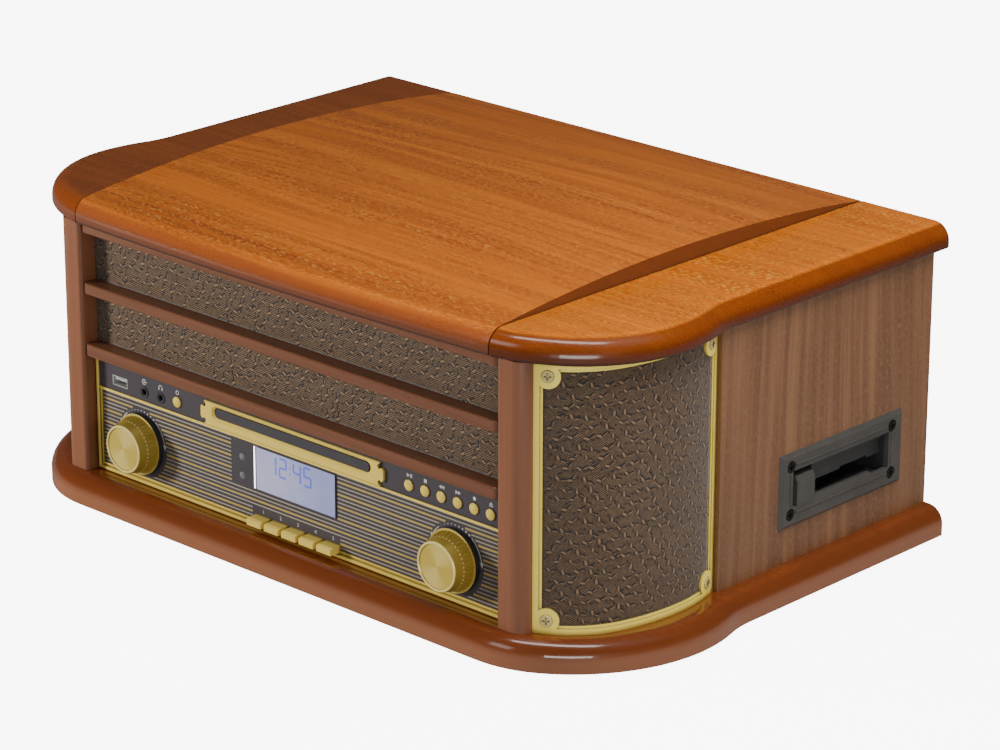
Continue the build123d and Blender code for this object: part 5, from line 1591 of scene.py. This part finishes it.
@dataclass
class FrontPanel:
    """The fascia with its printed lines, controls, display and sockets."""

    plinth_top: float = 22.3 * MM
    line_pitch: float = 2.6 * MM
    first_line: float = 6.7 * MM
    line_count: int = 19
    shortest_line: float = 1.0 * MM
    gold_every: int = 3
    gold_height: float = 1.3 * MM
    pale_height: float = 0.75 * MM
    foil: float = 0.06 * MM
    field_half: float = 170.2 * MM
    knob_across: float = 134.9 * MM
    knob_height: float = 26.9 * MM
    disc_radius: float = 22.8 * MM
    scale_inset: float = 1.6 * MM
    scale_width: float = 0.6 * MM
    scale_arcs: tuple[Pair, ...] = ((150, 128), (52, 8))
    arrow_ends: tuple[tuple[float, int], ...] = ((6, -1), (152, 1))
    arrow_length: float = 2.0 * MM
    arrow_bends: tuple[float, ...] = (0.0, 2.3, -2.3)
    dot_count: int = 9
    dot_from: float = 122
    dot_step: float = 8
    dot_size: float = 0.3 * MM
    dot_growth: float = 0.06 * MM
    dot_corners: tuple[float, ...] = (0.0, 1.57, 3.14, 4.71)
    window: tuple[float, float, float, float] = (-53.5 * MM, 38.1 * MM, 22.6 * MM, 54.3 * MM)
    key_strip: tuple[float, float, float] = (-35.5 * MM, 40.3 * MM, 13.2 * MM)
    glass: tuple[float, float, float, float] = (-30.2 * MM, 37.1 * MM, 25.3 * MM, 52.3 * MM)
    symbol_height: float = 68.6 * MM
    ring_width: float = 0.45 * MM
    arc_step: float = 6.0
    function_ring: tuple[float, float, float] = (1.2 * MM, 0.0, 360.0)
    line_ring: tuple[float, float, float] = (1.6 * MM, 40.0, 320.0)
    phones_ring: tuple[float, float, float] = (1.45 * MM, -15.0, 195.0)
    numeral_height: float = 11.0 * MM
    numeral_size: float = 3.4 * MM
    jacks: Pair = (-131.4 * MM, -116.3 * MM)
    jack_drop: float = 0.6 * MM
    # Depth behind the panel's face from which the trim's groove is painted in shade
    trim_recess: float = 0.5 * MM

    @property
    def front(self) -> float:
        """Give Y of the panel's face."""
        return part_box("fascia")[0].y

    def gaps(self, z: float) -> list[Pair]:
        """Find where a printed line is left off.

        Args:
            z: The line's height above the plinth.

        Returns:
            The start and end of each gap along X.
        """
        found = []
        rise = abs(z - self.knob_height)
        if rise < self.disc_radius:
            half = math.sqrt(self.disc_radius ** 2 - rise ** 2)
            found += [(side * self.knob_across - half, side * self.knob_across + half) for side in (-1, 1)]
        left, right, bottom, top = self.window
        if bottom < z < top:
            found.append((left, right))
        left, right, top = self.key_strip
        if z < top:
            found.append((left, right))
        return sorted(found)

    def lines(self, name: str, gold: bool, height: float, finish: Finish) -> None:
        """Lay the foil lines of one colour.

        Args:
            name: The colour's name.
            gold: Whether these are the gold lines.
            height: The height of a line.
            finish: Their finish.
        """
        points, spans = [], []
        for number in range(self.line_count):
            if (number % self.gold_every == 1) != gold:
                continue
            z = self.first_line + number * self.line_pitch
            start = -self.field_half
            for gap_start, gap_end in [*self.gaps(z), (self.field_half, self.field_half)]:
                if gap_start - start > self.shortest_line:
                    points.append(((start + gap_start) / 2, self.front - self.foil / 2, self.plinth_top + z))
                    spans.append(gap_start - start)
                start = max(start, gap_end)
        carrier = bpy.data.meshes.new("lines")
        carrier.from_pydata(points, [], [])
        carrier.attributes.new("span", "FLOAT", "POINT").data.foreach_set("value", spans)
        foil = grow(f"fascia_lines_{name}", carrier, strip_tree(), {
            "Height": height, "Thickness": self.foil, "Material": finish.material()})
        fit(foil)

    def stamp(self, maker: MeshMaker, corners: Sequence[Pair]) -> None:
        """Print a shape on the panel's face."""
        maker.prism(corners, self.front - self.foil, self.front)

    def arc(self, maker: MeshMaker, centre: Pair, radius: float, start: float, end: float,
            width: float) -> None:
        """Add a printed arc.

        Args:
            maker: Where it is added.
            centre: Its centre in X and Z.
            radius: The radius of its middle line.
            start: Its first angle in degrees.
            end: Its last angle in degrees.
            width: The line's width.
        """
        steps = max(2, int(abs(end - start) / self.arc_step))
        angles = [math.radians(start + (end - start) * number / steps) for number in range(steps + 1)]
        outer, inner = radius + width / 2, radius - width / 2
        for first, second in zip(angles, angles[1:]):
            self.stamp(maker, [polar(centre, outer, first), polar(centre, outer, second),
                               polar(centre, inner, second), polar(centre, inner, first)])

    def scale(self, maker: MeshMaker, centre: Pair) -> None:
        """Print the arcs, arrows and growing dots round a knob.

        Args:
            maker: Where they are added.
            centre: The knob's centre in X and Z.
        """
        ring = self.disc_radius - self.scale_inset
        for start, end in self.scale_arcs:
            self.arc(maker, centre, ring, start, end, self.scale_width)
        for degrees, turn in self.arrow_ends:
            angle = math.radians(degrees)
            tip, heading = polar(centre, ring, angle), angle + turn * math.pi / 2
            self.stamp(maker, [polar(tip, self.arrow_length, heading + bend) for bend in self.arrow_bends])
        for number in range(self.dot_count):
            spot = polar(centre, ring, math.radians(self.dot_from - self.dot_step * number))
            size = self.dot_size + self.dot_growth * number
            self.stamp(maker, [polar(spot, size, angle) for angle in self.dot_corners])

    def symbol(self, maker: MeshMaker, x: float, z: float, shapes: Iterable[Iterable[Pair]]) -> None:
        """Print a plain symbol.

        Args:
            maker: Where it is added.
            x: Its middle along X.
            z: Its middle in height.
            shapes: The corners of each shape from the middle in millimetres, anticlockwise.
        """
        for corners in shapes:
            self.stamp(maker, [(x + across * MM, z + up * MM) for across, up in corners])

    def marks(self) -> None:
        """Print the scales round the knobs."""
        maker = MeshMaker()
        for side in (-1, 1):
            self.scale(maker, (side * self.knob_across, self.plinth_top + self.knob_height))
        fit(maker.piece("fascia_scale_marks", PRINT_PALE))

    def symbols(self) -> None:
        """Print a plain symbol over each button and jack, and a numeral over each key."""
        maker = MeshMaker()
        z = self.plinth_top + self.symbol_height
        for name, shapes in BUTTON_MARKS.items():
            self.symbol(maker, middle_of(name), z, shapes)
        low = z - self.jack_drop
        line, phones = self.jacks
        self.arc(maker, (middle_of("function_button"), z), *self.function_ring, self.ring_width)
        self.symbol(maker, line, low, LINE_MARKS)
        self.symbol(maker, phones, low, PHONES_MARKS)
        self.arc(maker, (line, low), *self.line_ring, self.ring_width)
        self.arc(maker, (phones, low), *self.phones_ring, self.ring_width)
        height = self.plinth_top + self.numeral_height
        for number, key in enumerate(KEYS, 1):
            maker.numeral(str(number), middle_of(f"{key}_key"), height, self.numeral_size,
                          self.front - self.foil, self.front)
        fit(maker.piece("fascia_symbols", PRINT_PALE))

    def build(self) -> None:
        """Make the printed lines, the marks and the display."""
        self.lines("gold", True, self.gold_height, FOIL_GOLD)
        self.lines("pale", False, self.pale_height, FOIL_PALE)
        self.marks()
        self.symbols()
        Display(self).build()

    def dress(self) -> None:
        """Finish the panel, its trim, buttons, keys, knobs and sockets."""
        dress(PANEL_GREY, "fascia")
        # The trim's groove behind the face is painted in shade
        dress(replace(GILT, name="satin_gilt_trim", recess_from=self.front - self.trim_recess), "fascia_trim")
        dress(GILT, "slot_bezel")
        dress(DISPLAY_BLACK, "display_module")
        dress(GILT, *(f"{name}_button" for name in BUTTONS))
        dress(GILT, *(f"{name}_key" for name in KEYS))
        height = self.plinth_top + self.knob_height
        for side, name in ((-1, "volume_knob"), (1, "tuning_knob")):
            centre, front = (side * self.knob_across, height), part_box(name)[0].y
            dress(SpunKnob(f"spun_gilt_{name}", centre=centre, front=front), name)
        dress(SOCKETS, "sockets")
        dress(TRAY_GREY, "cd_tray")
        dress(BLACK, "cd_loader")


class Segment(Enum):
    """The seven bars of a digit: centre across and up in half digit sizes, and whether the bar is upright."""

    TOP = (0.0, 1.0, False)
    UPPER_RIGHT = (1.0, 0.5, True)
    LOWER_RIGHT = (1.0, -0.5, True)
    BOTTOM = (0.0, -1.0, False)
    LOWER_LEFT = (-1.0, -0.5, True)
    UPPER_LEFT = (-1.0, 0.5, True)
    MIDDLE = (0.0, 0.0, False)


DIGITS = {
    "1": (Segment.UPPER_RIGHT, Segment.LOWER_RIGHT),
    "2": (Segment.TOP, Segment.UPPER_RIGHT, Segment.MIDDLE, Segment.LOWER_LEFT, Segment.BOTTOM),
    "4": (Segment.UPPER_LEFT, Segment.UPPER_RIGHT, Segment.MIDDLE, Segment.LOWER_RIGHT),
    "5": (Segment.TOP, Segment.UPPER_LEFT, Segment.MIDDLE, Segment.LOWER_RIGHT, Segment.BOTTOM),
}


@dataclass
class Display:
    """The lit display with its digits and the bright edge of its light guide."""

    panel: FrontPanel
    digits: str = "1245"
    digit_height: float = 11.6 * MM
    digit_width: float = 5.8 * MM
    digit_pitch: float = 9.0 * MM
    digits_from: float = 14 * MM
    digits_rise: float = 5.6 * MM
    bar: float = 1.3 * MM
    bar_gap: float = 0.25 * MM
    colon_room: float = 3.2 * MM
    colon_from: float = 15.1 * MM
    colon_half: float = 0.5 * MM
    colon_rise: float = 2.0 * MM
    edge_from: float = 2.2 * MM
    edge_width: float = 0.9 * MM
    proud: float = 0.25 * MM
    digit_film: float = 0.05 * MM

    @property
    def front(self) -> float:
        """Give Y of the display block's face."""
        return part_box("display_module")[0].y

    def digit(self, maker: MeshMaker, text: str, x: float, z: float, front: float) -> None:
        """Add one digit.

        Args:
            maker: Where it is added.
            text: The digit.
            x: Its middle along X.
            z: Its middle in height.
            front: Y of the glass.
        """
        for segment in DIGITS[text]:
            across, up, upright = segment.value
            cx, cz = x + across * self.digit_width / 2, z + up * self.digit_height / 2
            long = (self.digit_height if upright else self.digit_width * 2) / 4 - self.bar_gap
            half_x, half_z = (self.bar / 2, long) if upright else (long, self.bar / 2)
            corners = slab(cx - half_x, cz - half_z, cx + half_x, cz + half_z)
            maker.prism(corners, front - self.digit_film, front)

    def plate(self, name: str, finish: Finish, left: float, right: float) -> None:
        """Make a lit plate as high as the glass.

        Args:
            name: Its name.
            finish: Its finish.
            left: X of its left edge.
            right: X of its right edge.
        """
        _, _, bottom, top = self.panel.glass
        base = self.panel.plinth_top
        maker = MeshMaker()
        maker.prism(slab(left, base + bottom, right, base + top), self.front - self.proud, self.front)
        fit(maker.piece(name, finish))

    def build(self) -> None:
        """Make the lit field, the digits and the light guide's edge."""
        left, right, bottom, top = self.panel.glass
        self.plate("display_field", DISPLAY_LIT, left, right)
        edge = left - self.edge_from
        self.plate("display_light_edge", EDGE_GLOW, edge, edge + self.edge_width)
        maker = MeshMaker()
        glass = self.front - self.proud
        middle = self.panel.plinth_top + (bottom + top) / 2 + self.digits_rise
        start = left + self.digits_from
        for number, text in enumerate(self.digits):
            x = start + number * self.digit_pitch + (self.colon_room if number > 1 else 0.0)
            self.digit(maker, text, x, middle, glass)
        x, half = start + self.colon_from, self.colon_half
        for z in (middle - self.colon_rise, middle + self.colon_rise):
            maker.prism(slab(x - half, z - half, x + half, z + half), glass - self.digit_film, glass)
        fit(maker.piece("display_digits", DIGIT_BLUE))


@dataclass
class Turntable:
    """The deck, platter, arm and their small parts under the lid."""

    def dress(self) -> None:
        """Finish each part."""
        dress(BLACK, "turntable_deck", "tonearm_base", "speed_switch", "auto_stop_switch", "cue_lever",
              "cartridge")
        dress(SOFT_BLACK, "platter_mat", "drive_belt")
        dress(ALUMINIUM, "platter", "tonearm", "tonearm_gimbal")
        dress(HINGE_BRASS, "motor_pulley")
        dress(PLAIN_STEEL, "platter_motor")


@dataclass
class CassetteSlot:
    """The cassette mechanism in the right-hand side."""

    def dress(self) -> None:
        """Finish each part."""
        dress(CASSETTE_BLACK, "cassette_bezel", "eject_button")
        dress(BLACK, "cassette_deck", "cassette_flap")


@dataclass
class Electrics:
    """The boards and the transformer inside the case."""

    def dress(self) -> None:
        """Finish each part."""
        dress(CIRCUIT_GREEN, "circuit_boards")
        dress(PLAIN_STEEL, "power_transformer")


def main() -> None:
    """Build the stage and every sub-assembly in order."""
    logging.basicConfig(level=logging.INFO, format="%(name)s: %(message)s")
    View().build()
    Studio().build()
    Cabinet().dress()
    cloth = GrilleCloth()
    cloth.build()
    cloth.dress()
    panel = FrontPanel()
    panel.build()
    panel.dress()
    Turntable().dress()
    CassetteSlot().dress()
    Electrics().dress()


if __name__ == "__main__":
    main()
